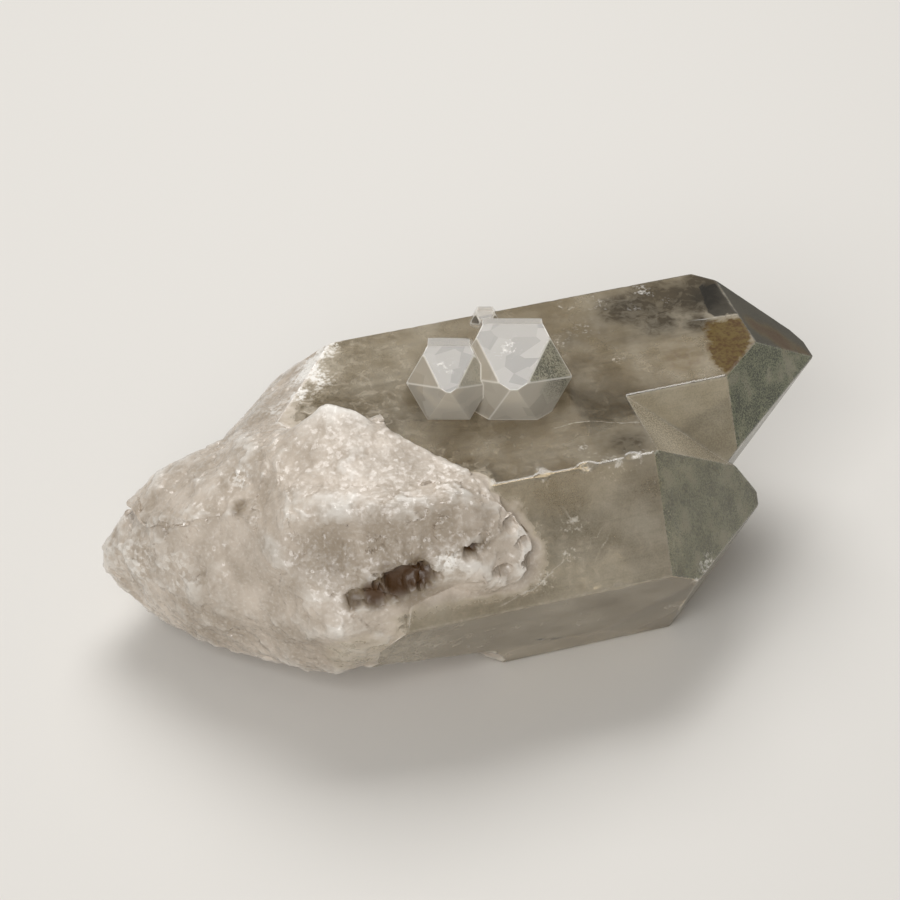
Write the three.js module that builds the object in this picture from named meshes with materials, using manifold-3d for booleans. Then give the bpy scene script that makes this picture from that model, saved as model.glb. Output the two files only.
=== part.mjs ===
// A cluster of intergrown quartz crystals, broken from its rock at the milky end.
// Millimetres, +Z up. X runs along the long axis that the two large crystals share, tips towards +X.
// The cluster lies on the prism face that looks down, at z = 0.
import * as THREE from "three";
import { ConvexGeometry } from "three/addons/geometries/ConvexGeometry.js";
import { ImprovedNoise } from "three/addons/math/ImprovedNoise.js";
import { TessellateModifier } from "three/addons/modifiers/TessellateModifier.js";
import { mergeVertices } from "three/addons/utils/BufferGeometryUtils.js";
import Module from "manifold-3d";

const wasm = await Module();
wasm.setup();

// Quartz habit: six prism faces 60 degrees apart, each tip face leaning 51.79 degrees from the long axis.
const PRISM_TURN = THREE.MathUtils.degToRad(60);
const TIP_LEAN = THREE.MathUtils.degToRad(51.79);

// Distances of the faces from the crystal's origin. Faces 0 to 5 go round from the one that looks up,
// through the back (1, 2), the underside (3) and the front (4, 5).
// Breaks are fracture faces: azimuth and elevation of the outward direction, then the distance.
const MAIN_CRYSTAL = {
  prism: [40, 32.2, 12.2, 0, 11.6, 31.6],
  tip: [61.8, 53.7, 29.4, 15.2, 27.1, 50.5],
  breaks: [
    [142, 45, 43.2],
    [111, 47, 42],
    [137, 32, 42.1],
    [144, 26, 42.1],
    [158, -6, 38],
    [124, -34, 30],
    [-150, 15, 36],
    [-150, -20, 29],
  ],
};
const FRONT_CRYSTAL = {
  prism: [40, 20, 2, 0, 21.2, 44.3],
  tip: [46.6, 22.5, 6.2, 19.5, 34.8, 49.6],
  breaks: [
    [-175, -8, 27.6],
    [-168, 24, 33.4],
  ],
};

// The small clear crystals on the top face all point the same way, towards the front and a little up.
// Each is given by the middle of its shoulder, its width across flats, how far its point and its back end
// reach, and how much more its upper tip face is cut back than the rest.
const SMALL_AXIS = { azimuth: -108, elevation: 30 };
const SMALL_CRYSTALS = [
  { at: [7.2, -9.5, 45], width: 16, point: 9.6, backEnd: 20, topCut: 1.5 },
  { at: [-3.2, -9.3, 46], width: 11.4, point: 6.8, backEnd: 19, topCut: 0.9 },
  { at: [9.4, 10.8, 40.4], width: 4.4, point: 2.6, backEnd: 8, topCut: 0.4 },
];

// The milky end: overlapping broken lumps, each the hull of its own corner points. Relief is how far
// its surface wanders from that hull.
const ROCK_LUMPS = {
  rootBody: {
    relief: 0.8,
    corners: [
      [-57, 2, 15], [-54, 1, 8], [-48, -9, 6], [-39, -18, 6], [-28, -25, 8],
      [-51, -7, 24], [-47.6, -16, 19], [-42, -17.4, 27.6], [-39.6, -21, 17], [-33, -28, 25],
      [-34.6, -16.6, 35], [-43, 3, 27], [-28, 17, 27], [-32, 21, 17], [-41, 16, 14],
      [-49, 9, 9], [-44, 8, 2], [-30, 14, 1.5], [-12, 10, 8], [-12, -14, 8], [-14, -10, 34],
    ],
  },
  leftPoint: {
    relief: 1,
    corners: [
      [-58.6, 2.4, 16], [-57.4, 3.4, 12], [-56, 2, 20], [-52, 4.8, 23.4], [-54, 0, 7.6],
      [-53.5, -3, 16], [-51, -5, 22], [-48, -8, 9], [-49, 9, 18], [-44, 2, 14],
    ],
  },
  upperShelf: {
    relief: 1,
    corners: [
      [-53, 4.4, 24], [-47.7, 6.1, 27.4], [-42.7, 6.3, 29.8], [-37.2, 6.5, 31.4], [-52, -5, 25.4],
      [-47.4, -12.6, 31.4], [-41.6, -15, 34.6], [-38.7, -7, 36], [-35.4, -17, 36.4], [-30, -6, 36],
      [-40, 10, 22], [-32, 8, 20],
    ],
  },
  shoulder: {
    relief: 0.5,
    corners: [
      [-37, 4, 33], [-34.6, 0.5, 37], [-38, -6, 36.4], [-34, -8.5, 39.6], [-32, -3, 38.6],
      [-35.4, -14.6, 37], [-29, -12, 38], [-28, 4, 30], [-34, 6, 26],
    ],
  },
  wedge: {
    relief: 0.3,
    corners: [
      [-22.5, -7.6, 46], [-19.6, -9.4, 45.6], [-32.6, -8, 40.4], [-33.4, -15, 40.8], [-32, -20.4, 39],
      [-9.8, -20.6, 42.4], [-3.6, -26, 40.6], [-16.8, -27.4, 41.6], [-24.4, -26, 41.4], [-26, -6, 34],
      [-14, -10, 34],
    ],
  },
  crust: {
    relief: 0.9,
    corners: [
      [-34.4, -19.6, 38.4], [-32.4, -23, 40], [-24.4, -27.4, 42], [-12.6, -30.4, 41], [-5, -30.6, 40.6],
      [-4.8, -34.4, 34], [-13, -35.8, 33], [-20, -36.4, 30.4], [-28, -35.4, 25.4], [-33.8, -30.6, 28],
      [-37, -22, 30], [-26, -12, 22], [-10, -20, 26],
    ],
  },
  crustLip: {
    relief: 0.9,
    corners: [
      [-33, -20.6, 41], [-26, -26.8, 43], [-15, -30.6, 43], [-6, -31, 42.6], [-4, -32, 40.4],
      [-14, -32.8, 39.6], [-25, -30.6, 39.4], [-33.6, -25, 38.4], [-24, -18, 38], [-8, -22, 36],
    ],
  },
  crustEnd: {
    relief: 0.6,
    corners: [
      [-9.4, -24.4, 42], [-3.8, -26.6, 41.4], [-2.2, -31.4, 39.6], [-4, -34.6, 37], [-8.6, -35, 36.8],
      [-12, -32, 39.4], [-8, -28, 34], [-3, -28, 34],
    ],
  },
  crustSlab: {
    relief: 0.6,
    corners: [
      [-3, -30.6, 39.4], [0.6, -32.4, 37.4], [2.4, -35, 33.4], [1.8, -37.2, 30.8], [-0.2, -38, 27.4],
      [-5, -37, 28.6], [-5, -34.6, 34], [-2, -30, 28],
    ],
  },
  leftRim: {
    relief: 0.8,
    corners: [
      [-35.6, -18.8, 38], [-33.4, -23, 39.6], [-36, -27, 32.6], [-38, -24.4, 27.6], [-39.6, -19.4, 28.6],
      [-31, -16, 28], [-33.8, -28.6, 30],
    ],
  },
  lowerFold: {
    relief: 0.8,
    corners: [
      [-45, -14.4, 12], [-38, -22.4, 19], [-34.6, -29.6, 25], [-28.6, -36.8, 24.8], [-27.4, -32.6, 13],
      [-27, -29, 8], [-39.4, -19.4, 8], [-26.6, -23, 5], [-24, -14, 6], [-34, -10, 20],
      [-19, -32.4, 14], [-20, -37, 23.6], [-20, -28.6, 8],
    ],
  },
  brokenTop: {
    relief: 0.7,
    corners: [
      [-16, 13.6, 39.6], [-19.8, 17, 36], [-25, 19.4, 29.4], [-28, 22.6, 21.6], [-22.4, 6, 39.8],
      [-29.6, -4, 39.8], [-33, 4, 34.6], [-31, 11, 30.4], [-24, 4, 30],
    ],
  },
};
// Longest edge of a lump's small facets, and the two lengths of its unevenness with their shares.
const LUMP_GRAIN = 3.4;
const LUMP_SPLITS = 8;
const RELIEF_WAVES = [
  { length: 5.5, share: 1 },
  { length: 2.4, share: 0.5 },
];
// Where the noise is read for the second and third channel.
const CHANNEL_SHIFT = [19.7, 41.3];

// Rounded knobs below the end of the crust: place and radius.
const KNOB_RELIEF = 1.1;
const KNOBS = [
  [-9, -35.2, 32.2, 2.4],
  [-12.4, -34.8, 32, 1.8],
  [-6.2, -36.4, 30.6, 1.8],
];
const KNOB_DETAIL = 1;

// Hollows: the sunken band and the slot in the crust, the notch below the shelf and the broken lower edge
// at the front, each the hull of its corners.
const HOLLOW_RELIEF = 0.7;
const HOLLOWS = {
  crustBand: [
    [-31.4, -23, 36.4], [-10, -31, 35], [-13.6, -32.4, 32.6], [-32.6, -26.6, 30.6], [-32, -28, 39.6],
    [-8, -36, 38], [-12, -38, 34.6], [-34, -34, 32],
  ],
  crustSlot: [
    [-21, -38.4, 28], [-12, -38, 30.6], [-6, -37.6, 31.6], [-6, -37.4, 29], [-19, -39, 26],
    [-17, -33.4, 27], [-8, -33, 29.6],
  ],
  shelfNotch: [
    [-40.6, -16.4, 33.4], [-35.6, -20.4, 34.4], [-37.8, -17.4, 36], [-37, -13.6, 33.4], [-39, -17.4, 31.8],
  ],
  lowerEdge: [
    [2, -24, -2], [-3, -18, -2], [-3, -27.4, 7], [-34, -13, -2], [-34, -34, 14], [-34, -42, 12],
    [-34, -42, -2], [2, -42, -2], [2, -30, 4],
  ],
};

// Chips knocked off the edges of the clear crystals: centre and radius of each shell-shaped scar.
const CHIPS = [
  [27.6, -27.6, 42.4, 3.2],
  [20.4, -28.2, 41.8, 2.2],
  [13, -29, 42, 2.8],
  [6, -29.4, 42.4, 3.2],
  [8.4, -38.4, 32.8, 6],
  [9.6, -40.6, 29, 6],
  [33.4, -33.4, 33.6, 3.4],
  [15, -40, 23.4, 2.6],
];
const CHIP_DETAIL = 2;

const QUARTZ_COLOUR = 0xcbbfae;
const QUARTZ_ROUGHNESS = 0.3;

// Two faces are parallel below this determinant; a corner may lie this far outside a face it touches.
const PARALLEL = 1e-6;
const TOUCHING = 1e-6;
const SAME_POINT = 1e-4;
const FLOOR_BLOCK = 200;

const radians = THREE.MathUtils.degToRad;

// Unit vector of an azimuth, from +X towards +Y, and an elevation above level.
function direction(azimuth, elevation) {
  const level = Math.cos(radians(elevation));
  return new THREE.Vector3(
    level * Math.cos(radians(azimuth)),
    level * Math.sin(radians(azimuth)),
    Math.sin(radians(elevation)),
  );
}

// Outward direction of prism face k of a crystal that points along +X.
function prismNormal(k) {
  return new THREE.Vector3(0, Math.sin(k * PRISM_TURN), Math.cos(k * PRISM_TURN));
}

// Outward direction of the tip face above prism face k.
function tipNormal(k) {
  return prismNormal(k).multiplyScalar(Math.sin(TIP_LEAN)).setX(Math.cos(TIP_LEAN));
}

// The corners of the space inside all faces: each three faces meet in a point, kept where it is inside the rest.
function cornersInside(faces) {
  const corners = [];
  for (let i = 0; i < faces.length; i++) {
    for (let j = i + 1; j < faces.length; j++) {
      for (let k = j + 1; k < faces.length; k++) {
        const three = [faces[i], faces[j], faces[k]];
        const rows = new THREE.Matrix3().set(...three.flatMap((face) => face.normal.toArray()));
        if (Math.abs(rows.determinant()) < PARALLEL) continue;
        const corner = new THREE.Vector3(...three.map((face) => face.distance)).applyMatrix3(rows.invert());
        if (faces.every((face) => face.normal.dot(corner) <= face.distance + TOUCHING)) corners.push(corner);
      }
    }
  }
  return corners;
}

// A closed geometry with shared corners as a solid that can be joined and cut.
function solidOf(geometry) {
  geometry.deleteAttribute("normal");
  geometry.deleteAttribute("uv");
  const closed = mergeVertices(geometry, SAME_POINT);
  return new wasm.Manifold(
    new wasm.Mesh({
      numProp: 3,
      vertProperties: closed.attributes.position.array,
      triVerts: new Uint32Array(closed.index.array),
    }),
  );
}

// A crystal along +X from its face distances, with its fracture faces.
function largeCrystal({ prism, tip, breaks }) {
  const faces = [
    ...prism.map((distance, k) => ({ normal: prismNormal(k), distance })),
    ...tip.map((distance, k) => ({ normal: tipNormal(k), distance })),
    ...breaks.map(([azimuth, elevation, distance]) => ({ normal: direction(azimuth, elevation), distance })),
  ];
  return solidOf(new ConvexGeometry(cornersInside(faces)));
}

// A six-sided crystal pointed at both ends, turned to the small crystals' axis.
function smallCrystal({ at, width, point, backEnd, topCut }) {
  const faces = [];
  for (let k = 0; k < 6; k++) {
    const cut = k === 0 ? topCut : 0;
    const backNormal = tipNormal(k).multiply(new THREE.Vector3(-1, 1, 1));
    faces.push({ normal: prismNormal(k), distance: width / 2 });
    faces.push({ normal: tipNormal(k), distance: point * Math.cos(TIP_LEAN) - cut });
    faces.push({ normal: backNormal, distance: backEnd * Math.cos(TIP_LEAN) });
  }
  const axis = direction(SMALL_AXIS.azimuth, SMALL_AXIS.elevation);
  const up = direction(SMALL_AXIS.azimuth, SMALL_AXIS.elevation + 90);
  const turn = new THREE.Matrix4().makeBasis(axis, up.clone().cross(axis), up).setPosition(...at);
  return solidOf(new ConvexGeometry(cornersInside(faces)).applyMatrix4(turn));
}

const noise = new ImprovedNoise();

// Smooth noise as a vector, one channel for each direction, in two sizes of lump.
function rockNoise(point) {
  const shift = new THREE.Vector3();
  for (const { length, share } of RELIEF_WAVES) {
    const [x, y, z] = point.clone().divideScalar(length).toArray();
    shift.x += share * noise.noise(x, y, z);
    shift.y += share * noise.noise(y + CHANNEL_SHIFT[0], z, x);
    shift.z += share * noise.noise(z + CHANNEL_SHIFT[1], x, y);
  }
  return shift;
}

// Moves every corner of a geometry by the noise at its place, so faces that shared corners still meet.
function roughened(geometry, relief) {
  const places = geometry.attributes.position;
  const point = new THREE.Vector3();
  for (let i = 0; i < places.count; i++) {
    point.fromBufferAttribute(places, i);
    point.addScaledVector(rockNoise(point), relief);
    places.setXYZ(i, ...point);
  }
  return geometry;
}

// A broken lump: the hull of its corners, split into small facets and made uneven.
function rockLump({ corners, relief }) {
  const hull = new ConvexGeometry(corners.map((corner) => new THREE.Vector3(...corner)));
  return solidOf(roughened(new TessellateModifier(LUMP_GRAIN, LUMP_SPLITS).modify(hull), relief));
}

// A round scar or knob of small facets.
function ball([x, y, z, radius], detail) {
  return new THREE.IcosahedronGeometry(radius, detail).translate(x, y, z);
}

const joined = [
  largeCrystal(MAIN_CRYSTAL),
  largeCrystal(FRONT_CRYSTAL),
  ...SMALL_CRYSTALS.map(smallCrystal),
  ...Object.values(ROCK_LUMPS).map(rockLump),
  ...KNOBS.map((knob) => solidOf(roughened(ball(knob, KNOB_DETAIL), KNOB_RELIEF))),
].reduce((whole, piece) => whole.add(piece));

const worn = [
  ...Object.values(HOLLOWS).map((corners) => rockLump({ corners, relief: HOLLOW_RELIEF })),
  ...CHIPS.map((chip) => solidOf(ball(chip, CHIP_DETAIL))),
].reduce((whole, piece) => whole.subtract(piece), joined);

const belowFloor = new THREE.BoxGeometry(FLOOR_BLOCK, FLOOR_BLOCK, FLOOR_BLOCK).translate(0, 0, -FLOOR_BLOCK / 2);
const { vertProperties, triVerts } = worn.subtract(solidOf(belowFloor)).getMesh();

const surface = new THREE.BufferGeometry();
surface.setAttribute("position", new THREE.BufferAttribute(vertProperties, 3));
surface.setIndex(new THREE.BufferAttribute(triVerts, 1));
surface.computeBoundingBox();

// The origin is the middle of the bounding box on the floor.
const middle = surface.boundingBox.getCenter(new THREE.Vector3());
surface.translate(-middle.x, -middle.y, 0);
surface.computeVertexNormals();

const cluster = new THREE.Mesh(
  surface,
  new THREE.MeshStandardMaterial({ color: QUARTZ_COLOUR, roughness: QUARTZ_ROUGHNESS, metalness: 0 }),
);
cluster.name = "quartz_cluster";

const group = new THREE.Group();
group.add(cluster);

export default group;
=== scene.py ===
"""Looks of a cluster of intergrown quartz crystals, broken from its rock at the milky end.

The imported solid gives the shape. Its merged copy gets a finer mesh, worn crystal edges and broken relief, and
soft fields on that mesh tell one quartz material where it is clear, milky, smoky, stained or dusted green.
"""

import math
from functools import partial
from types import SimpleNamespace

import bpy
import numpy as np
from bpy.props import FloatProperty, FloatVectorProperty, IntProperty, PointerProperty
from bpy.types import Operator, Panel, PropertyGroup
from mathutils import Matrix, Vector
from mathutils.geometry import delaunay_2d_cdt


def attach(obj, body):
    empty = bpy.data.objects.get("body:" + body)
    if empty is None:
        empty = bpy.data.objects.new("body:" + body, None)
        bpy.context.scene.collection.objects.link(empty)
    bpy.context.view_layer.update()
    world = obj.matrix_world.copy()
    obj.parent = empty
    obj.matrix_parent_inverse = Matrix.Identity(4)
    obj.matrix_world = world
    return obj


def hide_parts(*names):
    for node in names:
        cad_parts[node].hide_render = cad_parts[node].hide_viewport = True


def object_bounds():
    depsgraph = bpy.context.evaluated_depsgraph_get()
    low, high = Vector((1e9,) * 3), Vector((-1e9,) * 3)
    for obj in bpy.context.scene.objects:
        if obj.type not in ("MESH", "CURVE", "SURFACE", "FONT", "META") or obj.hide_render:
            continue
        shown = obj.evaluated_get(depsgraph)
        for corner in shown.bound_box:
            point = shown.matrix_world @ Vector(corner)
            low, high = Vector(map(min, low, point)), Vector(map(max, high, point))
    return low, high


bl_info = {
    "name": "Quartz Cluster Looks",
    "version": (1, 0, 0),
    "blender": (4, 5, 0),
    "location": "3D View > Sidebar > Quartz",
    "description": "Finishes a packed quartz cluster: a worn skin, its looks and a studio",
    "category": "Object",
}

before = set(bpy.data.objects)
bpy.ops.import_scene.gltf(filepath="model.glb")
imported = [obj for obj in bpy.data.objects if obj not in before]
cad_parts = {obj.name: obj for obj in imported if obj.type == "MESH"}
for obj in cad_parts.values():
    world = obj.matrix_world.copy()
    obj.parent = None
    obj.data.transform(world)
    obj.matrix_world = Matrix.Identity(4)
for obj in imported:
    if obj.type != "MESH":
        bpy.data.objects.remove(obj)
CAD_LOW, CAD_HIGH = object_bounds()
NODE = "quartz_cluster"
BODY = "root"

MM = 0.001
SEED = 41
# Lengths below this count as this in a division.
TINY = 1e-12

# The crystals' own frame in millimetres: X along the large crystals, the floor at z = 0. The part's frame
# lies this far off it.
FRAME_SHIFT = np.array([1.9914, -6.463, 0])
PRISM_TURN = math.radians(60)
TIP_LEAN = math.radians(51.79)
LARGE_CRYSTALS = {
    "main": {"prism": (40, 32.2, 12.2, 0, 11.6, 31.6), "tip": (61.8, 53.7, 29.4, 15.2, 27.1, 50.5)},
    "front": {"prism": (40, 20, 2, 0, 21.2, 44.3), "tip": (46.6, 22.5, 6.2, 19.5, 34.8, 49.6)},
}
SMALL_AXIS = {"azimuth": -108, "elevation": 30}
SMALL_CRYSTALS = {
    "right": {"at": (7.2, -9.5, 45), "width": 16, "point": 9.6, "back": 20, "top_cut": 1.5},
    "left": {"at": (-3.2, -9.3, 46), "width": 11.4, "point": 6.8, "back": 19, "top_cut": 0.9},
    "nub": {"at": (9.4, 10.8, 40.4), "width": 4.4, "point": 2.6, "back": 8, "top_cut": 0.4},
}
# The label of every surface that isn't a crystal face.
ROCK = 0
# How well a triangle must fit a crystal face: the cosine between their normals, and their distance.
SAME_DIRECTION = 0.9997
SAME_PLANE_MM = 0.06
# Points nearer than this are one.
MERGE_MM = 0.01
# Sheets of surface that may touch along one edge.
MOST_SHEETS = 8
# Patches of crystal face smaller than this and left of this X count as rock.
ISLAND_MM2 = 40
ISLANDS_END_MM = -10
# Two surfaces that meet at more than this have a crystal edge between them.
CREASE_ANGLE = math.radians(12)

# The noises: random slopes to pick from, the gain that brings heights to about 1, planes of chips to pick
# from, and the factors that spread the cells over them.
NOISE_SLOPES = 256
NOISE_GAIN = 1.6
CHIP_PLANES = 4096
CHIP_SPREAD = np.array([7349, 19349, 83492])
# What the shares of two octaves of ridges come to.
RIDGE_TOTAL = 1.5
# The share of a ledge's width where its riser begins.
RISER_START = 0.72

# Relief on broken quartz, in mm: how far apart its shapes lie, and how high they are. Ledges are noise cut to
# steps and lowered to a share. A slow sideways wander bends the pattern, and moves the surface by less. All
# of it lies deeper by the last number, so that it stays within the solid.
LEDGES_MM, LEDGE_STEP_MM, LEDGE_SHARE = 8.5, 0.4, 0.5
LARGE_CHIPS_MM, LARGE_CHIPS_HIGH = 4.6, 0.5
SMALL_CHIPS_MM, SMALL_CHIPS_HIGH = 2.3, 0.3
RIBS_MM, RIBS_HIGH = 1.5, 0.09
GRAIN_MM, GRAIN_HIGH = 1.1, 0.09
WANDER_MM, WANDER_BEND, WANDER_SHARE = 4, 0.7, 0.08
RELIEF_DEEPER = 0.15

# The mesh on a crystal face: rows beside its edges, where it wears, and in the middle a grid whose rows lie
# this share of their step apart. Points keep off the outline by these shares of a row's offset or of the
# step. Points this near each other are joined.
ROW_OFFSETS = (0.22, 0.55)
ROW_CLEARANCE = 0.8
GRID_ROW = 0.866
GRID_CLEARANCE = 0.4
JOIN_MM = 1e-5
# A face counts as level from this size of its normal's Z.
LEVEL_FROM = 0.9
# How much longer edges may be on hidden rock: beyond these Y at the far side, and below these heights.
HIDDEN_COARSENING = 0.4
FAR_SIDE_MM = (4, 14)
NEAR_FLOOR_MM = (4, 1)

# The filled form that broken quartz follows.
FORM_VOXEL_MM = 0.9
FORM_SMOOTHING = 12
PLUG_INSET_MM = 0.8
# Outline in X and Y and the levels of the block where deep folds are filled.
FOLD_OUTLINE = ((-60, -40), (-1.5, -40), (-1.5, -20), (-14, -20), (-14, -8), (-60, -8))
FOLD_LEVELS = (16, 50)

# Wear and relief: the way over which rock begins, how far ways are measured from faces and from edges, the
# cover from which an edge no longer counts, the relief on covered faces, the sizes of nicks and of ragged
# cavity walls, the share of wear that small crystals are spared, and rounds of wear.
ROCK_START_MM = 1.6
ROCK_REACH_MM = 5.0
EDGE_REACH_MM = 3.0
EDGE_COVER = 0.3
COVERED_RELIEF = 0.7
NICK_MM = 2.3
RAGGED_MM = 2.2
SMALL_SPARED = 0.85
WEAR_ROUNDS = 3
# The noise above which an edge begins to be nicked, and where the nick is deepest.
NICK_BEGINS, NICK_FULL = 0.28, 0.62
# A cavity's depth goes from none to all between these shares of its half lengths, and noise moves that.
DENT_NONE, DENT_ALL, DENT_NOISE = 1.15, 0.6, 0.5
# The fine ribs on broken quartz run along X.
RIB_STRETCH = np.array([0.3, 1, 1])
# The way in which the cavities under the crust go.
INWARD = np.array([0, 0.98, 0.2])

# The distance that fields carry far from any shape or line, the distances off a line between which its share
# fades out, and the rounds that soften the rock's border.
FAR_MM = 9.0
LINE_FADES_MM = (1, 3)
BLUR_ROUNDS = 5
ABSORPTION_PER_M = 20.0
# In the pairs from here on a smooth step begins at the first place and ends at the second. Broken quartz
# fades into the faces by X and by Y, it ends to the right, and so does the crust that lies on faces.
ROCK_FADES_X, ROCK_FADES_Y = (-14, -6), (-10, -4)
ROCK_ENDS_X, CRUST_ENDS_X = (2, 8), (7, 3)
# Right of this X broken quartz is this dull.
DULL_ROCK_X, DULL_ROCK = 2, 0.7
# The width of the painted highlight along a worn crystal edge, and how much narrower it is on small
# crystals.
EDGE_HIGHLIGHT_MM, EDGE_NARROWER_MM = 0.5, 0.2
# Height of crests and depth of pits.
CREST_MM, PIT_MM = (0.05, 0.5), (0.15, 0.9)
# Milk ends at this X, and this much further left below the front crust and behind the broken wedge. It fades
# over this way to each side, along a border with lumps of this size that move it by this much.
MILK_END_X = -2
BELOW_CRUST_LEFT, BELOW_CRUST_Y, BELOW_CRUST_Z = 26, (-24, -30), (29, 23)
BEHIND_WEDGE_LEFT, BEHIND_WEDGE_Y = 10, (-4, 8)
MILK_FADE_MM, MILK_LUMPS_MM, MILK_DRIFT_MM = 7, 9, 4
# Broken quartz beyond that has thin milk, which runs out to the least share.
LEAST_MILK, THIN_MILK, THIN_ENDS_X = 0.12, 0.45, (0, 8)
# Faces have the least haze, and more towards the broken end.
LEAST_HAZE, MORE_HAZE, HAZE_ENDS_X = 0.04, 0.14, (-30, 6)
# A fringe of milk lies on the faces beside the crust's upper end. Lumps move its border too, by this share
# of what they move the milk's.
FRINGE_MILK, FRINGE_DRIFT = 0.75, 0.75
FRINGE_ENDS_X, FRINGE_Y, FRINGE_Z = (-1, 7), (-28, -32), (24, 28)
# Faces of the skin that meet at more than this are shaded apart.
SHARP_ANGLE = math.radians(42)

# The stage, in metres. The floor lies just under the cluster, so that the two don't touch. Each lamp has a
# name, turn and height in degrees, distance and size.
FLOOR_HALF = 6.0
FLOOR_LEVEL = -0.00025
LAMP_TARGET = Vector((-0.002, 0.0065, 0.025))
LAMPS = (("key", 76, 63, 0.62, 0.4), ("fill", -125, 38, 0.9, 0.5))
TARGET_HEIGHT = 0.025
SENSOR_WIDTH_MM = 36
CLIP_NEAR, CLIP_FAR = 0.01, 50


def linear(code):
    """An sRGB hex colour as linear red, green and blue, and full opacity."""
    shares = (int(code[i : i + 2], 16) / 255 for i in (0, 2, 4))
    return (*(s / 12.92 if s <= 0.04045 else ((s + 0.055) / 1.055) ** 2.4 for s in shares), 1.0)


def direction(azimuth, elevation):
    """Unit vector of an azimuth, from +X towards +Y, and an elevation above level, in degrees."""
    a, e = math.radians(azimuth), math.radians(elevation)
    return np.array([math.cos(e) * math.cos(a), math.cos(e) * math.sin(a), math.sin(e)])


def smooth_step(low, high, value):
    """0 below low, 1 above high, and an S-shaped cubic between them."""
    t = np.clip((value - low) / (high - low), 0, 1)
    return t * t * (3 - 2 * t)


def unit(vectors):
    """Vectors scaled to length 1."""
    return vectors / np.maximum(np.linalg.norm(vectors, axis=-1, keepdims=True), TINY)


def gradient_noise(points, seed):
    """Smooth noise of about -1 to 1: each corner of a point's unit cell has a random slope, and the eight
    slopes' heights at the point are blended by the quintic fade of its place in the cell."""
    rng = np.random.default_rng(seed)
    slopes = unit(rng.normal(size=(NOISE_SLOPES, 3)))
    order = rng.permutation(NOISE_SLOPES)
    cell = np.floor(points).astype(int)
    part = points - cell
    fade = part**3 * (part * (part * 6 - 15) + 10)
    total = np.zeros(len(points))
    for corner in np.ndindex(2, 2, 2):
        x, y, z = ((cell + corner) % NOISE_SLOPES).T
        pick = order[(order[(order[x] + y) % NOISE_SLOPES] + z) % NOISE_SLOPES]
        weight = np.where(corner, fade, 1 - fade).prod(1)
        total += weight * ((part - corner) * slopes[pick]).sum(1)
    return total * NOISE_GAIN


def fractal(points, size, octaves, seed):
    """Sum of noises, each half as wide and half as high as the one before, from size millimetres down."""
    return sum(gradient_noise(points / size * 2**i, seed + i) / 2**i for i in range(octaves))


def ridged(points, size, octaves, seed):
    """Sharp-crested noise: 1 minus twice the size of each octave, so its zero lines become ridges."""
    layers = (1 - 2 * np.abs(gradient_noise(points / size * 2**i, seed + i)) for i in range(octaves))
    return sum(layer / 2**i for i, layer in enumerate(layers)) / RIDGE_TOTAL


def terraces(height, step):
    """Height turned to steps with short steep risers, as broken quartz has."""
    level = height / step
    whole = np.floor(level)
    return (whole + smooth_step(RISER_START, 1, level - whole)) * step


def chipped(points, size, seed):
    """Flat-sided noise: each point takes the height of a randomly tilted plane through the nearest of the
    spots that are strewn one to a cell of this size."""
    table = np.random.default_rng(seed).random((CHIP_PLANES, 7))
    place = points / size
    cell = np.floor(place).astype(int)
    nearest = np.full(len(points), np.inf)
    height = np.zeros(len(points))
    for offset in np.ndindex(3, 3, 3):
        corner = cell + offset - 1
        x, y, z = (corner * CHIP_SPREAD).T
        pick = table[(x ^ y ^ z) % CHIP_PLANES]
        way = place - corner - pick[:, :3]
        distance = (way**2).sum(1)
        plane = (way * (pick[:, 3:6] - 0.5)).sum(1) + 0.5 * (pick[:, 6] - 0.5)
        height = np.where(distance < nearest, plane, height)
        nearest = np.minimum(nearest, distance)
    return height


def spot(points, centre, radius, core=0.2):
    """1 in the core of a ball round the centre, fading to 0 at its radius."""
    away = np.linalg.norm(points - np.array(centre), axis=1)
    return 1 - smooth_step(core * radius, radius, away)


def placed(points, places):
    """The strongest of the soft spots at each point."""
    found = np.zeros(len(points))
    for *centre, radius, strength in places:
        np.maximum(found, strength * spot(points, centre, radius), out=found)
    return found


def placed_share(points, places):
    """The share of something that stays at each point, by places of centre, radius and share. A share above 1
    makes it stronger."""
    share = np.ones(len(points))
    for *centre, radius, left in places:
        share *= 1 - (1 - left) * spot(points, centre, radius, 0.5)
    return share


def crystal_faces():
    """Every natural face as (owner, kind, turn, outward normal, distance from the crystals' origin)."""
    faces = []
    for owner, sizes in LARGE_CRYSTALS.items():
        for k in range(6):
            side = np.array([0, math.sin(k * PRISM_TURN), math.cos(k * PRISM_TURN)])
            tip = math.sin(TIP_LEAN) * side + math.cos(TIP_LEAN) * np.array([1, 0, 0])
            faces.append((owner, "prism", k, side, sizes["prism"][k]))
            faces.append((owner, "tip", k, tip, sizes["tip"][k]))
    azimuth, elevation = SMALL_AXIS["azimuth"], SMALL_AXIS["elevation"]
    axis, up = direction(azimuth, elevation), direction(azimuth, elevation + 90)
    across = np.cross(up, axis)
    for owner, sizes in SMALL_CRYSTALS.items():
        at = np.array(sizes["at"])
        for k in range(6):
            side = math.sin(k * PRISM_TURN) * across + math.cos(k * PRISM_TURN) * up
            for kind, lean, reach in (("tip", 1, sizes["point"]), ("back", -1, sizes["back"])):
                cut = sizes["top_cut"] if (kind, k) == ("tip", 0) else 0
                normal = math.sin(TIP_LEAN) * side + lean * math.cos(TIP_LEAN) * axis
                faces.append((owner, kind, k, normal, normal @ at + reach * math.cos(TIP_LEAN) - cut))
            faces.append((owner, "prism", k, side, side @ at + sizes["width"] / 2))
    return faces


FACES = crystal_faces()


def face_numbers(owners, kinds=("prism", "tip", "back"), turns=range(6)):
    """Labels of the faces that belong to these owners, kinds and turns."""
    return [
        i + 1
        for i, (owner, kind, turn, _, _) in enumerate(FACES)
        if owner in owners and kind in kinds and turn in turns
    ]


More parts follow.
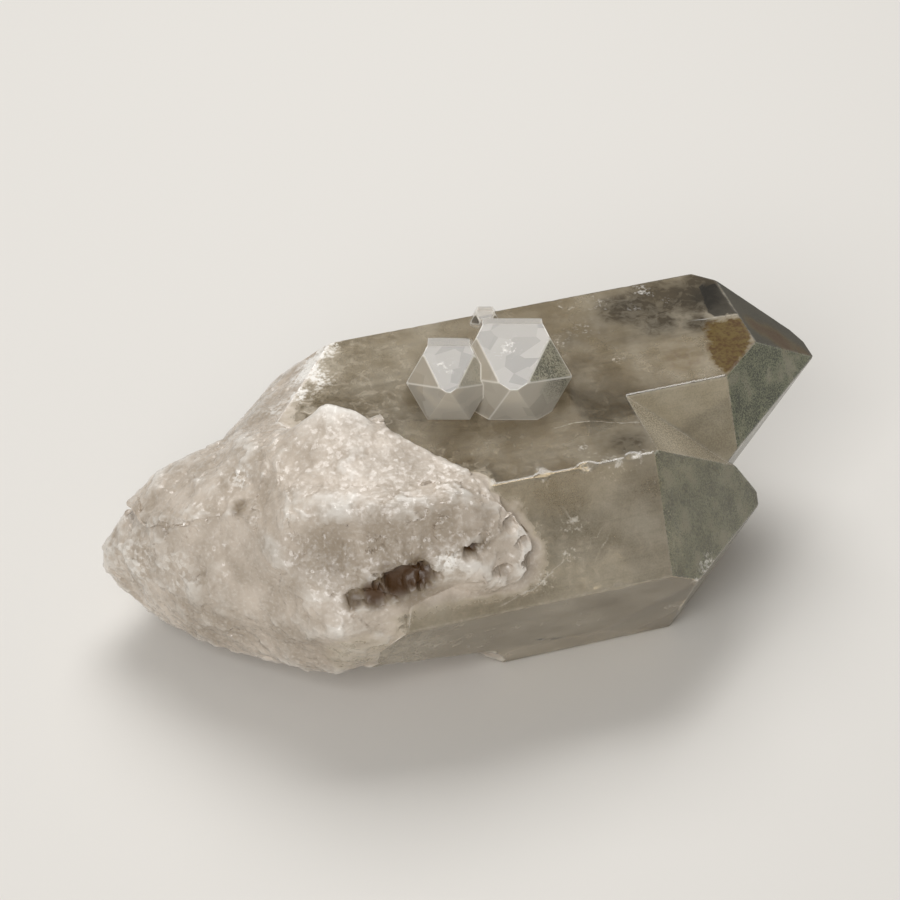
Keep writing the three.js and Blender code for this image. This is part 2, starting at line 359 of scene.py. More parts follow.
# Every place from here on is in the crystals' frame in millimetres, with its centre and radius in one row.

# Where broken quartz is smoother or rougher: centre, radius and the share of relief there.
SMOOTH_PLACES = (
    (-58, -2, 17, 13, 1.5),
    (-30, 12, 34, 9, 1.3),
    (-22, -9, 44, 9, 0.3),
    (-14, -20, 42, 9, 0.5),
    (-40, -20, 27, 8, 0.45),
    (9, -36, 30, 7, 0.3),
    (-15, -36.6, 25, 9, 0.3),
)

# Where the broken lumps keep their corners: centre, radius and the share of smoothing that stays.
CRISP_PLACES = (
    (-20, -9, 45.5, 7, 0.15),
    (-4, -26, 41, 5, 0.4),
    (-58, 2, 15, 5, 0.4),
)

# Places that the filled form covers although a crystal face begins there: pockets under the crust's end, and
# the two chips in the front crystal, which stay as faint dents. Centre, radius and strength.
COVERED_PLACES = (
    (-4.6, -32.4, 32.6, 5, 1),
    (-10.5, -24.8, 40, 4.5, 1),
    (-5, -27, 40, 4, 1),
    (8.9, -33.1, 30.5, 5.5, 0.85),
    (9.5, -35.4, 26.6, 5, 0.85),
    (0, -35, 32.5, 5, 1),
    (-1, -36.5, 28.5, 4, 1),
)

# Cavities under the crust: centre, half lengths and depth.
DENTS = (
    ((-17.8, -35.5, 31.4), (4.2, 6, 2.1), 2.6),
    ((-7.8, -35.3, 34.3), (2.1, 6, 1), 1.9),
    ((-23.8, -34.6, 28.8), (5, 6, 0.8), 1.1),
    ((0.8, -35, 33.6), (1.5, 6, 0.8), 1.3),
    ((1.4, -36.6, 30.8), (1.3, 6, 1.1), 1.2),
    ((-0.8, -33, 36.4), (1.8, 6, 0.7), 1.2),
    ((-3.4, -35.4, 30.6), (1.6, 6, 0.6), 0.9),
)

# Faces whose shared edges get no painted highlight line.
FAINT_SIDES = face_numbers(["right"], ["tip"], [2, 3]) + face_numbers(["left"], ["tip"], [2, 3, 4])

# Where the painted highlight along a worn edge shows only faintly: centre, radius and the share of that
# highlight that stays.
FAINT_PLACES = (
    (20, -28, 40, 10, 0.35),
    (4, -28, 40, 12, 0.3),
)

# Smoky clouds, iron stain, and white bruises that are partly painted glints: centre, radius and strength,
# which is above 1 where they are densest.
SMOKY_PLACES = (
    (21.5, 2.9, 40, 4.6, 1),
    (25, 0.5, 40, 4, 0.6),
    (46.5, 11, 40, 6, 1.5),
    (43.5, 8, 40, 9, 1.5),
    (38.5, 9.5, 40, 10, 1.4),
    (32, 8, 40, 10, 1.25),
    (26.5, 5.5, 40, 8, 0.9),
    (36, 3.5, 40, 9, 1.2),
    (42, 0.8, 40, 5.5, 1.3),
    (30.5, 1, 40, 7, 0.9),
    (3, 12, 40, 6, 0.45),
    (-9, 7.5, 40, 5, 0.35),
    (13, 12.5, 40, 4, 0.5),
    (2, -17, 40, 7, 0.3),
    (-6, -8, 40, 5, 0.3),
    (23.9, -19.2, 40, 1.3, 1),
    (21, -24.5, 40, 7, 1.2),
    (15.5, -24, 40, 6, 0.8),
    (-14, -37.4, 23, 9, 0.35),
    (-2, -37.4, 21.5, 8, 0.25),
    (26, -35.5, 20, 4, 0.3),
    (-4, -33, 14, 9, 0.4),
    (8, -32, 12, 8, 0.25),
    (7.6, -34.2, 29.6, 1.6, 0.7),
    (14, -33.6, 30.6, 1.4, 0.6),
    (51, -9, 32, 10, 0.5),
    (55, 3, 36, 10, 0.9),
)

RUST_PLACES = (
    (36.5, -7, 40, 8, 0.7),
    (28.5, -7.8, 40, 7, 0.4),
    (56, -0.5, 35, 6.5, 1),
    (52, 0, 38, 4.5, 1),
    (60, -0.8, 31.5, 4, 0.8),
    (-16.5, -33.8, 31.2, 6, 1),
    (-19.5, -34.2, 30.6, 6, 1),
    (-23, -34.6, 29.4, 4.5, 1),
    (-7.8, -34, 34.4, 2.4, 1),
    (-6, -34.4, 34.6, 2.4, 0.6),
    (-26, -33.8, 28.2, 3.5, 0.8),
    (-27, -30, 33.5, 6, 0.4),
    (-13, -21, 42, 4, 0.35),
    (-38.5, -15.2, 34.9, 3, 0.7),
    (-9, -13.5, 40.2, 3, 0.4),
    (9, -36.9, 24, 2, 0.5),
)

BRUISE_AND_GLINT_PLACES = (
    (36.6, 12.1, 40, 2.4, 1),
    (22.9, 12, 40, 2.8, 0.9),
    (28.3, 11.3, 40, 3, 0.6),
    (33.9, 7.4, 40, 1.3, 0.9),
    (39.1, 8.6, 40, 0.9, 1),
    (19.2, 3.2, 40, 3, 0.75),
    (24, 5.5, 40, 4, 0.45),
    (26, -4, 40, 3.2, 0.5),
    (22.6, -6, 40, 0.8, 1),
    (24.6, -27.7, 40, 1.4, 0.8),
    (14.1, -23.4, 40, 2.2, 0.55),
    (17, -28.5, 40, 4, 0.6),
    (9.3, -32.4, 32.6, 3.4, 0.65),
    (8.1, -34.6, 28.7, 2.6, 0.65),
    (3.4, -36.2, 26, 3.2, 0.7),
    (22.4, -30.4, 36, 1.6, 1),
    (31.5, -33, 19, 4.2, 1),
    (29, -35, 18.2, 2.4, 1),
    (34.5, -31, 20.5, 1.8, 0.7),
    (27.5, -29.5, 10, 4, 0.7),
    (-18.5, 12.5, 38.8, 5, 1.6),
    (-16, 14.5, 38.8, 4, 1.6),
    (-21, 9.5, 39, 5, 1.6),
    (-20, 5.5, 39.8, 4, 1.2),
    (-24, 3, 39.5, 4, 1.2),
    (-57, -5, 16, 9, 0.6),
    (-50, -13, 22, 7, 0.45),
    (-47, -21, 11, 10, 0.4),
    (-38, -29, 11, 8, 0.35),
    (-27, 2.5, 37, 4, 0.7),
    (-52, -4, 20, 7, 0.5),
    (-37, -10.5, 37, 3, 0.7),
    (7, -8, 49.8, 2.8, 1),
    (-3.8, -9, 49.4, 2.2, 1),
    (21.5, -27.8, 39.8, 2.8, 0.65),
    (13, -27.8, 39.6, 2.2, 0.55),
    (6, -28, 39.7, 2, 0.5),
    (-11.8, -35.6, 33.4, 3, 0.9),
)

# Crystal faces that the crust's end lies on: centre, radius and strength.
CRUSTED_PLACES = (
    (-4.6, -32.4, 32.6, 5.5, 1),
    (-10.5, -24.8, 40, 4.5, 1),
    (-5, -27, 40, 4, 1),
    (0, -34.8, 33.1, 5, 0.9),
    (-1, -36.5, 28.5, 5, 0.8),
    (3, -35.4, 31, 4, 0.8),
)

# Broken quartz with painted shade, greyer: centre, radius and strength.
SHADED_PLACES = (
    (-12, -32.5, 37, 8, 1),
    (-19.5, -31, 36.5, 8.5, 1),
    (-28, -29.5, 34, 8, 0.9),
    (-36, -27, 30, 9, 0.5),
    (-15, -36, 27.5, 6, 0.9),
    (-44, -16, 15, 11, 0.8),
    (-33, -30, 16, 11, 0.7),
    (-30, 5, 34, 8, 0.6),
)

# Broken quartz that is as smooth and clear as a face: centre, radius and the share of grain that is left.
GLASSY_PLACES = (
    (-14, -37, 25, 9, 0.15),
    (-26, -34.5, 17, 8, 0.4),
)

# Faces dusted with chlorite, and dull faces with a fine growth texture: owner, kind, turn, amount.
GREEN_FACES = (
    ("main", "tip", 5, 0.95),
    ("main", "tip", 4, 0.7),
    ("front", "tip", 5, 0.78),
    ("front", "tip", 4, 0.4),
    ("right", "tip", 1, 1.0),
    ("left", "tip", 1, 0.6),
    ("main", "tip", 0, 0.12),
    ("main", "prism", 5, 0.16),
)

# Where chlorite reaches over an edge of the right small crystal: centre, radius and strength.
GREEN_PLACES = (
    (15.8, -12, 44.8, 6.5, 0.9),
    (12.6, -13.2, 45, 4.5, 0.7),
)

DULL_FACES = (
    ("main", "prism", 5, 0.9),
    ("front", "tip", 0, 1.35),
    ("front", "tip", 5, 0.6),
    ("main", "tip", 5, 0.6),
    ("front", "prism", 5, 0.7),
    ("front", "prism", 4, 0.35),
)

# Faces of the small crystals that get painted inner reflections, and those over cloudier quartz, which also
# take painted light: owner, kind, turn, amount.
PAINTED_REFLECTION_FACES = (("right", "tip", 0, 1.0), ("left", "tip", 0, 1.0))

CLOUDY_AND_PAINTED_LIGHT_FACES = tuple(
    (owner, "tip", turn, amount)
    for owner in ("right", "left")
    for turn, amount in ((1, 0.4), (2, 0.9), (3, 1.0), (4, 0.7), (5, 0.4))
)

# Shapes inside a face, each (owner, kind, turn, corners): slate-dark patches, near the tip a painted dark
# reflection in a flat window of the face and one low on the front crystal, a mottled rust stain beside the
# first, and over the main crystal's tip face a brown cloud that ends at a growth line and is partly painted
# shade.
SLATE_AND_REFLECTION_SHAPES = (
    ("main", "prism", 0, ((46.2, 12, 40), (48.8, 10.3, 40), (49.1, 1.5, 40), (44.4, 1.9, 40))),
    ("front", "prism", 4, ((1.4, -29.4, 8.5), (7, -28, 6.1), (13.1, -27.2, 4.7), (7.2, -28.7, 7.3))),
)

STAIN_SHAPES = (
    (
        "main",
        "prism",
        0,
        (
            (43, 0.8, 40),
            (49.4, 0.6, 40),
            (50.4, -3.6, 40),
            (46.4, -9.4, 40),
            (41.6, -13.4, 40),
            (40.2, -9.5, 40),
        ),
    ),
)

BROWN_AND_SHADE_SHAPES = (
    ("main", "tip", 0, ((48, -9, 40.9), (48, 14, 40.9), (64, 14, 28.3), (64, -9, 28.3))),
)

# Lines on faces, each (owner, kind, turn, places): growth lines and healed cracks.
LINES = (
    (
        "main",
        "prism",
        0,
        ((12.5, -17.6, 40), (16.1, -17.3, 40), (18.8, -18.2, 40), (21.8, -19.8, 40), (24.6, -20.4, 40)),
    ),
    ("main", "prism", 0, ((43.6, 1.7, 40), (49.6, 1.2, 40))),
    ("front", "prism", 5, ((9.9, -33.5, 30.5), (6.4, -35, 27.9), (3.4, -36.2, 25.9), (-2, -36.9, 24.6))),
    ("front", "prism", 5, ((9.3, -32, 33.2), (10.5, -33, 31.4), (8.1, -34.6, 28.7))),
    ("front", "prism", 5, ((13.5, -34.4, 29), (11.3, -35.9, 26.4))),
)


def mesh_piece(name, points, triangles, fields):
    """A mesh object at the origin from points in the crystals' frame, with corner fields."""
    mesh = bpy.data.meshes.new(name)
    places = (points - FRAME_SHIFT) * MM
    mesh.vertices.add(len(places))
    mesh.vertices.foreach_set("co", places.astype(np.float32).ravel())
    mesh.loops.add(triangles.size)
    mesh.loops.foreach_set("vertex_index", triangles.astype(np.int32).ravel())
    mesh.polygons.add(len(triangles))
    mesh.polygons.foreach_set("loop_start", np.arange(0, triangles.size, 3, dtype=np.int32))
    mesh.update(calc_edges=True)
    mesh.validate()
    for field, values in fields.items():
        attribute = mesh.attributes.new(field, "FLOAT", "CORNER")
        attribute.data.foreach_set("value", values.astype(np.float32))
    piece = bpy.data.objects.new(name, mesh)
    bpy.context.scene.collection.objects.link(piece)
    return piece


def mesh_arrays(mesh):
    """A mesh's points in the crystals' frame and its triangles."""
    places = np.zeros(len(mesh.vertices) * 3)
    mesh.vertices.foreach_get("co", places)
    mesh.calc_loop_triangles()
    corners = np.zeros(len(mesh.loop_triangles) * 3, int)
    mesh.loop_triangles.foreach_get("vertices", corners)
    return places.reshape(-1, 3) / MM + FRAME_SHIFT, corners.reshape(-1, 3)


def applied(piece, helpers):
    """The piece's points and triangles as its modifiers leave them. The piece and the helpers that its
    modifiers use are deleted."""
    bpy.context.view_layer.update()
    found = mesh_arrays(piece.evaluated_get(bpy.context.evaluated_depsgraph_get()).data)
    for used in (piece, *helpers):
        mesh = used.data
        bpy.data.objects.remove(used)
        bpy.data.meshes.remove(mesh)
    return found


def used_points(points, triangles):
    """The mesh without the points that no triangle uses."""
    used, numbers = np.unique(triangles, return_inverse=True)
    return points[used], numbers.reshape(-1, 3)


def crosses_of(points, triangles):
    """The outward normal of each triangle, as long as twice its area."""
    a, b, c = (points[triangles[:, i]] for i in range(3))
    return np.cross(b - a, c - a)


def normals_of(points, triangles):
    """Unit normal of each triangle, and of each point as the area-weighted mean of its triangles'."""
    crosses = crosses_of(points, triangles)
    at_points = np.stack(
        [
            sum(np.bincount(triangles[:, i], crosses[:, axis], len(points)) for i in range(3))
            for axis in range(3)
        ],
        1,
    )
    return unit(crosses), unit(at_points)


def without_doubles(points, triangles):
    """The mesh with points of about the same place made one, and without the triangles and the pairs of
    triangles that this closes."""
    for offset in (0, MERGE_MM / 2):
        keys = np.round((points + offset) / MERGE_MM)
        _, first, same = np.unique(keys, axis=0, return_index=True, return_inverse=True)
        points, triangles = points[first], same.reshape(-1)[triangles]
    a, b, c = triangles.T
    triangles = triangles[(a != b) & (b != c) & (c != a)]
    _, first, count = np.unique(np.sort(triangles, 1), axis=0, return_index=True, return_counts=True)
    return points, triangles[first[count % 2 == 1]]


def merged_solid():
    """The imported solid's points in the crystals' frame and its triangles, with doubles merged."""
    return without_doubles(*mesh_arrays(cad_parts[NODE].data))


def labels_of(points, triangles):
    """The crystal face that each triangle lies in, or ROCK."""
    normals, _ = normals_of(points, triangles)
    middles = points[triangles].mean(1)
    labels = np.full(len(triangles), ROCK)
    for i, (_, _, _, normal, distance) in enumerate(FACES):
        on = (normals @ normal > SAME_DIRECTION) & (np.abs(middles @ normal - distance) < SAME_PLANE_MM)
        labels[on & (labels == ROCK)] = i + 1
    return labels


def edges_of(triangles, count):
    """Edges as point pairs, and the edge number of each triangle's three sides. Each edge joins two
    triangles: where the surface touches itself along an edge, each sheet has its own."""
    starts, ends = triangles.ravel(), np.roll(triangles, -1, 1).ravel()
    pair = np.minimum(starts, ends) * count + np.maximum(starts, ends)
    one_way = pair * 2 + (starts > ends)
    order = np.argsort(one_way, kind="stable")
    sheet = np.zeros(len(order), int)
    sheet[order] = np.arange(len(order)) - np.searchsorted(one_way[order], one_way[order])
    keys, number = np.unique(pair * MOST_SHEETS + sheet, return_inverse=True)
    pair = keys // MOST_SHEETS
    return np.stack([pair // count, pair % count], 1), number.reshape(-1, 3)


def sides_of_edges(number):
    """The two triangles at each edge of a closed mesh."""
    order = np.argsort(number.ravel(), kind="stable")
    return (order // 3).reshape(-1, 2)


def parts_of(triangles, labels, number):
    """The number of the joined part of one label that each triangle belongs to."""
    one, other = sides_of_edges(number).T
    same = labels[one] == labels[other]
    part = np.arange(len(triangles))
    while True:
        before = part.copy()
        np.minimum.at(part, one[same], before[other[same]])
        np.minimum.at(part, other[same], before[one[same]])
        part = part[part]
        if np.array_equal(before, part):
            return part


def without_islands(points, triangles, labels):
    """Labels in which the small rests of crystal faces among the broken lumps count as ROCK."""
    _, number = edges_of(triangles, len(points))
    part = parts_of(triangles, labels, number)
    area = np.bincount(part, np.linalg.norm(crosses_of(points, triangles), axis=1) / 2, len(part))[part]
    island = (area < ISLAND_MM2) & (points[triangles].mean(1)[:, 0] < ISLANDS_END_MM)
    return np.where(island, ROCK, labels)


def halve_edges(points, triangles, labels, edges, number, halved):
    """Halves the marked edges. A triangle becomes two, three or four by which of its sides are halved, so
    neighbours stay joined."""
    middle = np.full(len(edges), -1)
    middle[halved] = len(points) + np.arange(halved.sum())
    points = np.concatenate([points, points[edges[halved]].mean(1)])
    cut = halved[number]
    count = cut.sum(1)
    # Each triangle is turned so that its first side is halved, and its last is the whole one of two.
    turn = np.where(count == 1, cut.argmax(1), np.where(count == 2, (np.argmin(cut, 1) + 1) % 3, 0))
    order = (turn[:, None] + np.arange(3)) % 3
    a, b, c = np.take_along_axis(triangles, order, 1).T
    ab, bc, ca = middle[np.take_along_axis(number, order, 1)].T
    new, kept = [triangles[count == 0]], [labels[count == 0]]
    for sides, children in (
        (1, ((a, ab, c), (ab, b, c))),
        (2, ((ab, b, bc), (a, ab, bc), (a, bc, c))),
        (3, ((a, ab, ca), (ab, b, bc), (ca, bc, c), (ab, bc, ca))),
    ):
        chosen = count == sides
        for child in children:
            new.append(np.stack([corner[chosen] for corner in child], 1))
            kept.append(labels[chosen])
    return points, np.concatenate(new), np.concatenate(kept)


def creases_of(points, triangles, labels, number):
    """True for each edge between a crystal face and another surface that meets it at an angle."""
    normals, _ = normals_of(points, triangles)
    one, other = sides_of_edges(number).T
    bend = (normals[one] * normals[other]).sum(1)
    return (labels[one] != labels[other]) & (bend < math.cos(CREASE_ANGLE))


def way_from(points, edges, start, reach, rounds=16):
    """Length of the shortest way along edges from the start points, up to reach."""
    way = np.full(len(points), float(reach))
    way[start] = 0
    a, b = edges.T
    length = np.linalg.norm(points[a] - points[b], axis=1)
    for _ in range(rounds):
        before = way.copy()
        np.minimum.at(way, a, before[b] + length)
        np.minimum.at(way, b, before[a] + length)
        if np.array_equal(before, way):
            break
    return way


def neighbour_mean(values, edges):
    """For each point, the mean of values over its neighbours."""
    count = len(values)
    a, b = edges.T
    ends, others = np.concatenate([a, b]), np.concatenate([b, a])
    amount = np.maximum(np.bincount(ends, minlength=count), 1)
    columns = values.reshape(count, -1)
    means = [np.bincount(ends, column[others], count) / amount for column in columns.T]
    return np.stack(means, 1).reshape(values.shape)


def inside_outline(spots, starts, ends):
    """True for each flat point whose level line to the right crosses the outline an odd number of times."""
    x, y = spots[:, None, 0], spots[:, None, 1]
    above = (starts[:, 1] > y) != (ends[:, 1] > y)
    rise = ends[:, 1] - starts[:, 1]
    crossing = starts[:, 0] + (y - starts[:, 1]) / np.where(rise == 0, 1, rise) * (ends[:, 0] - starts[:, 0])
    return (above & (x < crossing)).sum(1) % 2 == 1


def from_outline(spots, starts, ends):
    """Distance of each flat point from the nearest part of the outline."""
    along = ends - starts
    square = np.maximum((along**2).sum(1), TINY)
    t = np.clip(((spots[:, None] - starts) * along).sum(2) / square, 0, 1)
    return np.linalg.norm(spots[:, None] - starts - t[..., None] * along, axis=2).min(1)


def left_of_outline(triangles, outline, count):
    """True for each triangle inside the outline. Those beside it run along it or against it, and each other
    triangle takes its state from a neighbour across an edge that isn't on the outline."""
    keys = triangles * count + np.roll(triangles, -1, 1)
    along = np.isin(keys, outline[:, 0] * count + outline[:, 1])
    against = np.isin(keys, outline[:, 1] * count + outline[:, 0])
    edges, number = edges_of(triangles, count)
    free = ~(along | against)
    state = along.any(1).astype(int) - against.any(1)
    while True:
        passed = np.bincount(number[free], np.repeat(state, free.sum(1)), len(edges))
        spread = np.sign((passed[number] * free).sum(1)).astype(int)
        after = np.where(state == 0, spread, state)
        if np.array_equal(after, state):
            return state > 0
        state = after


def meshed_face(points, outline, normal, sizes):
    """Triangles that fill one flat face from its outline, whose edges run with the face on their left: rows
    of points beside the outline where it wears, a triangular grid elsewhere, joined by Delaunay's rule inside
    the outline. Returns the added points and the triangles."""
    # A direction in the face that is steady for level faces too.
    first = np.array([1, 0, 0]) if abs(normal[2]) > LEVEL_FROM else np.cross(normal, [0, 0, 1])
    first = unit(first - (first @ normal) * normal)
    second = np.cross(normal, first)
    ring, local = np.unique(outline, return_inverse=True)
    local = local.reshape(-1, 2)
    flat = np.stack([points[ring] @ first, points[ring] @ second], 1)
    level = (points[ring] @ normal).mean()
    starts, ends = flat[local[:, 0]], flat[local[:, 1]]
    middles, along = (starts + ends) / 2, unit(ends - starts)
    across = np.stack([-along[:, 1], along[:, 0]], 1)
    tried = [np.zeros((0, 2))]
    for offset in ROW_OFFSETS:
        for side in (1, -1):
            row = middles + side * offset * across
            tried.append(row[from_outline(row, starts, ends) > ROW_CLEARANCE * offset])
    step = sizes.face_edge
    low, high = flat.min(0), flat.max(0)
    columns = np.arange(low[0], high[0], step)
    rows = np.arange(low[1], high[1], step * GRID_ROW)
    grid = np.stack(np.meshgrid(columns, rows), -1)
    grid[1::2, :, 0] += step / 2
    grid = grid.reshape(-1, 2)
    clearance = ROW_OFFSETS[-1] + GRID_CLEARANCE * step
    tried.append(grid[from_outline(grid, starts, ends) > clearance] if len(grid) else grid)
    added = np.concatenate(tried)
    added = added[inside_outline(added, starts, ends)] if len(added) else added
    everything = np.concatenate([flat, added])
    made = delaunay_2d_cdt([Vector(v) for v in everything.tolist()], local.tolist(), [], 0, JOIN_MM, True)
    source = np.array([found[0] for found in made[3]])
    triangles = source[np.array(made[2])]
    triangles = triangles[left_of_outline(triangles, local, len(everything))]
    numbers = np.concatenate([ring, len(points) + np.arange(len(added))])
    raised = added[:, :1] * first + added[:, 1:] * second + level * normal
    return raised, numbers[triangles]


def filled_form(points, triangles, sizes, inset=0.0):
    """An object of the solid with its narrow folds filled: it is swollen by the fill width, joined where it
    then meets itself, and shrunk back by that width and the inset."""
    form = mesh_piece("filled form", points, triangles, {})
    for width in (0, sizes.fill_width, -sizes.fill_width - inset):
        if width:
            swell = form.modifiers.new("swell", "DISPLACE")
            swell.strength, swell.mid_level = width * MM, 0
        if width >= 0:
            join = form.modifiers.new("join", "REMESH")
            join.mode, join.voxel_size = "VOXEL", FORM_VOXEL_MM * MM
    return form


def without_folds(points, triangles, sizes):
    """The solid with the deep folds of its broken side filled to just under the filled form, and without the
    hollows that this closes off."""
    plug = filled_form(points, triangles, sizes, PLUG_INSET_MM)
    block_mesh = bpy.data.meshes.new("fold block")
    count = len(FOLD_OUTLINE)
    corners = np.array([(x, y, z) for z in FOLD_LEVELS for x, y in FOLD_OUTLINE])
    walls = [(i, (i + 1) % count, (i + 1) % count + count, i + count) for i in range(count)]
    caps = [tuple(range(count))[::-1], tuple(range(count, 2 * count))]
    block_mesh.from_pydata(((corners - FRAME_SHIFT) * MM).tolist(), [], walls + caps)
    block = bpy.data.objects.new("fold block", block_mesh)
    bpy.context.scene.collection.objects.link(block)
    solid = mesh_piece("solid", points, triangles, {})
    for piece, way, other in ((plug, "INTERSECT", block), (solid, "UNION", plug)):
        joined = piece.modifiers.new(way, "BOOLEAN")
        joined.operation, joined.solver, joined.object = way, "MANIFOLD", other
    points, triangles = without_doubles(*applied(solid, [plug, block]))
    _, number = edges_of(triangles, len(points))
    part = parts_of(triangles, np.zeros(len(triangles)), number)
    area = np.bincount(part, np.linalg.norm(crosses_of(points, triangles), axis=1))
    return used_points(points, triangles[part == area.argmax()])


def on_filled_form(points, triangles, sizes):
    """The points moved to the nearest place on the filled form, smoothed."""
    form = filled_form(points, triangles, sizes)
    soften = form.modifiers.new("soften", "SMOOTH")
    soften.factor, soften.iterations = 0.5, FORM_SMOOTHING
    wrapped = mesh_piece("wrapped", points, triangles, {})
    wrap = wrapped.modifiers.new("wrap", "SHRINKWRAP")
    wrap.target, wrap.wrap_method = form, "NEAREST_SURFACEPOINT"
    places, _ = applied(wrapped, [form])
    return places


def wished_edges(middles, one, other, sizes):
    """The longest that each edge may be, by its middle and the labels at its sides: shorter along crystal
    edges than on rock, longer on rock at the far side and near the floor, and any length within a crystal
    face, which is meshed anew."""
    hidden = smooth_step(*FAR_SIDE_MM, middles[:, 1]) + smooth_step(*NEAR_FLOOR_MM, middles[:, 2])
    on_rock = sizes.rock_edge * (1 + HIDDEN_COARSENING * np.minimum(hidden, 1))
    rocky = (one == ROCK) | (other == ROCK)
    return np.where(rocky, on_rock, np.where(one != other, sizes.crease_edge, np.inf))


def refined_cluster(sizes):
    """The solid's mesh made fine enough for relief on the rock and for wear along the crystal edges, with
    each crystal face meshed anew from its outline."""
    points, triangles = without_folds(*merged_solid(), sizes)
    labels = without_islands(points, triangles, labels_of(points, triangles))
    while True:
        edges, number = edges_of(triangles, len(points))
        one, other = labels[sides_of_edges(number)].T
        length = np.linalg.norm(points[edges[:, 0]] - points[edges[:, 1]], axis=1)
        halved = length > wished_edges(points[edges].mean(1), one, other, sizes)
        if not halved.any():
            break
        points, triangles, labels = halve_edges(points, triangles, labels, edges, number, halved)
    all_points = [points]
    all_triangles, all_labels = [triangles[labels == ROCK]], [labels[labels == ROCK]]
    count = len(points)
    for label in np.unique(labels[labels != ROCK]):
        rim = (one == label) != (other == label)
        own = triangles[labels == label]
        sides = np.stack([own, np.roll(own, -1, 1)], 2)[rim[number[labels == label]]]
        added, filled = meshed_face(points, sides, FACES[label - 1][3], sizes)
        shifted = np.where(filled >= len(points), filled - len(points) + count, filled)
        count += len(added)
        all_points.append(added)
        all_triangles.append(shifted)
        all_labels.append(np.full(len(shifted), label))
    points, triangles, labels = (np.concatenate(part) for part in (all_points, all_triangles, all_labels))
    return *used_points(points, triangles), labels


def broken_relief(points, normals, roughness):
    """Displacement of broken quartz, scaled by roughness. Along the normal it is the sum of shell-shaped
    ledges, flat chips of two sizes, ribs and grain, lowered a little so that it stays within the solid.
    Sideways it wanders slowly."""
    wander = np.stack([fractal(points, WANDER_MM, 2, SEED + 10 * i) for i in range(3)], 1)
    bent = points + WANDER_BEND * wander
    ledges = terraces(fractal(bent, LEDGES_MM, 2, SEED + 40), LEDGE_STEP_MM) * LEDGE_SHARE
    large_chips = chipped(bent, LARGE_CHIPS_MM, SEED + 45) * LARGE_CHIPS_HIGH
    small_chips = chipped(bent, SMALL_CHIPS_MM, SEED + 46) * SMALL_CHIPS_HIGH
    ribs = ridged(bent * RIB_STRETCH, RIBS_MM, 2, SEED + 50) * RIBS_HIGH
    grain = fractal(bent, GRAIN_MM, 2, SEED + 60) * GRAIN_HIGH
    height = ledges + (large_chips + small_chips) + ribs + grain - RELIEF_DEEPER
    return roughness[:, None] * (height[:, None] * normals + WANDER_SHARE * wander)


def dented(points, melt):
    """The points pushed into the cavities under the crust, which have ragged walls."""
    for centre, reaches, depth in DENTS:
        out = np.linalg.norm((points - np.array(centre)) / np.array(reaches), axis=1)
        out = out + DENT_NOISE * fractal(points, RAGGED_MM, 3, SEED + 90)
        points = points + depth * smooth_step(DENT_NONE, DENT_ALL, out)[:, None] * INWARD * (melt > 0)
    return points


def with_worn_edges(points, edges, way, on_small, sizes):
    """The points near crystal edges drawn to their neighbours' mean. Away from nicks this reaches half the
    width of wear and goes half the way, and in the middle of a nick it reaches three times as far and goes
    all the way."""
    nicks = smooth_step(NICK_BEGINS, NICK_FULL, gradient_noise(points / NICK_MM, SEED + 3))
    width = sizes.wear_width * (0.5 + nicks)
    share = np.clip(1 - way / width, 0, 1) * (0.5 + 0.5 * nicks) * (1 - SMALL_SPARED * on_small)
    for _ in range(WEAR_ROUNDS):
        points = points + share[:, None] * (neighbour_mean(points, edges) - points)
    return points


def depth_in_hollows(points, triangles, edges, rounds):
    """How deep each point lies below the smoothed surface, negative on a crest."""
    smooth = points
    for _ in range(rounds):
        smooth = neighbour_mean(smooth, edges)
    _, normals = normals_of(points, triangles)
    return ((smooth - points) * normals).sum(1)


def worn_cluster(sizes):
    """The refined mesh with its crystal edges rounded and chipped and its rock broken up. Returns points,
    triangles, labels, and for each point its depth in a hollow and its way from a crystal edge."""
    points, triangles, labels = refined_cluster(sizes)
    edges, number = edges_of(triangles, len(points))
    into_rock = way_from(points, edges, np.unique(triangles[labels != ROCK]), ROCK_REACH_MM)
    rocky = smooth_step(0, ROCK_START_MM, into_rock)
    covered = placed(points, COVERED_PLACES)
    creases = creases_of(points, triangles, labels, number) & (covered[edges].max(1) < EDGE_COVER)
    way = way_from(points, edges, np.unique(edges[creases]), EDGE_REACH_MM)
    one, other = labels[sides_of_edges(number)].T
    faint = np.isin(one, FAINT_SIDES) & np.isin(other, FAINT_SIDES)
    between_faces = creases & (one != ROCK) & (other != ROCK) & ~faint
    edge_way = way_from(points, edges, np.unique(edges[between_faces]), EDGE_REACH_MM)
    on_small = np.zeros(len(points))
    on_small[np.unique(triangles[np.isin(labels, face_numbers(SMALL_CRYSTALS))])] = 1

    melt = np.maximum(rocky * placed_share(points, CRISP_PLACES), covered)[:, None]
    points = points + melt * (on_filled_form(points, triangles, sizes) - points)
    for _ in range(sizes.melt_rounds):
        points = points + melt * (neighbour_mean(points, edges) - points)
    points = dented(points, melt)
    _, normals = normals_of(points, triangles)
    roughness = np.maximum(rocky, COVERED_RELIEF * covered)
    roughness *= sizes.relief * placed_share(points, SMOOTH_PLACES)
    points = points + broken_relief(points, normals, roughness)
    points = with_worn_edges(points, edges, way, on_small, sizes)
    hollow = depth_in_hollows(points, triangles, edges, sizes.hollow_rounds)
    low, high = (np.array(corner) / MM + FRAME_SHIFT for corner in (CAD_LOW, CAD_HIGH))
    return np.clip(points, low, high), triangles, labels, hollow, edge_way


def on_faces(labels, numbers):
    """1 where a label is among the numbers, else 0."""
    return np.isin(labels, numbers).astype(float)


def face_amounts(labels, faces):
    """The amount that each listed face carries, at every corner on it."""
    found = np.zeros(len(labels))
    for owner, kind, turn, amount in faces:
        found = np.maximum(found, amount * on_faces(labels, face_numbers([owner], [kind], [turn])))
    return found


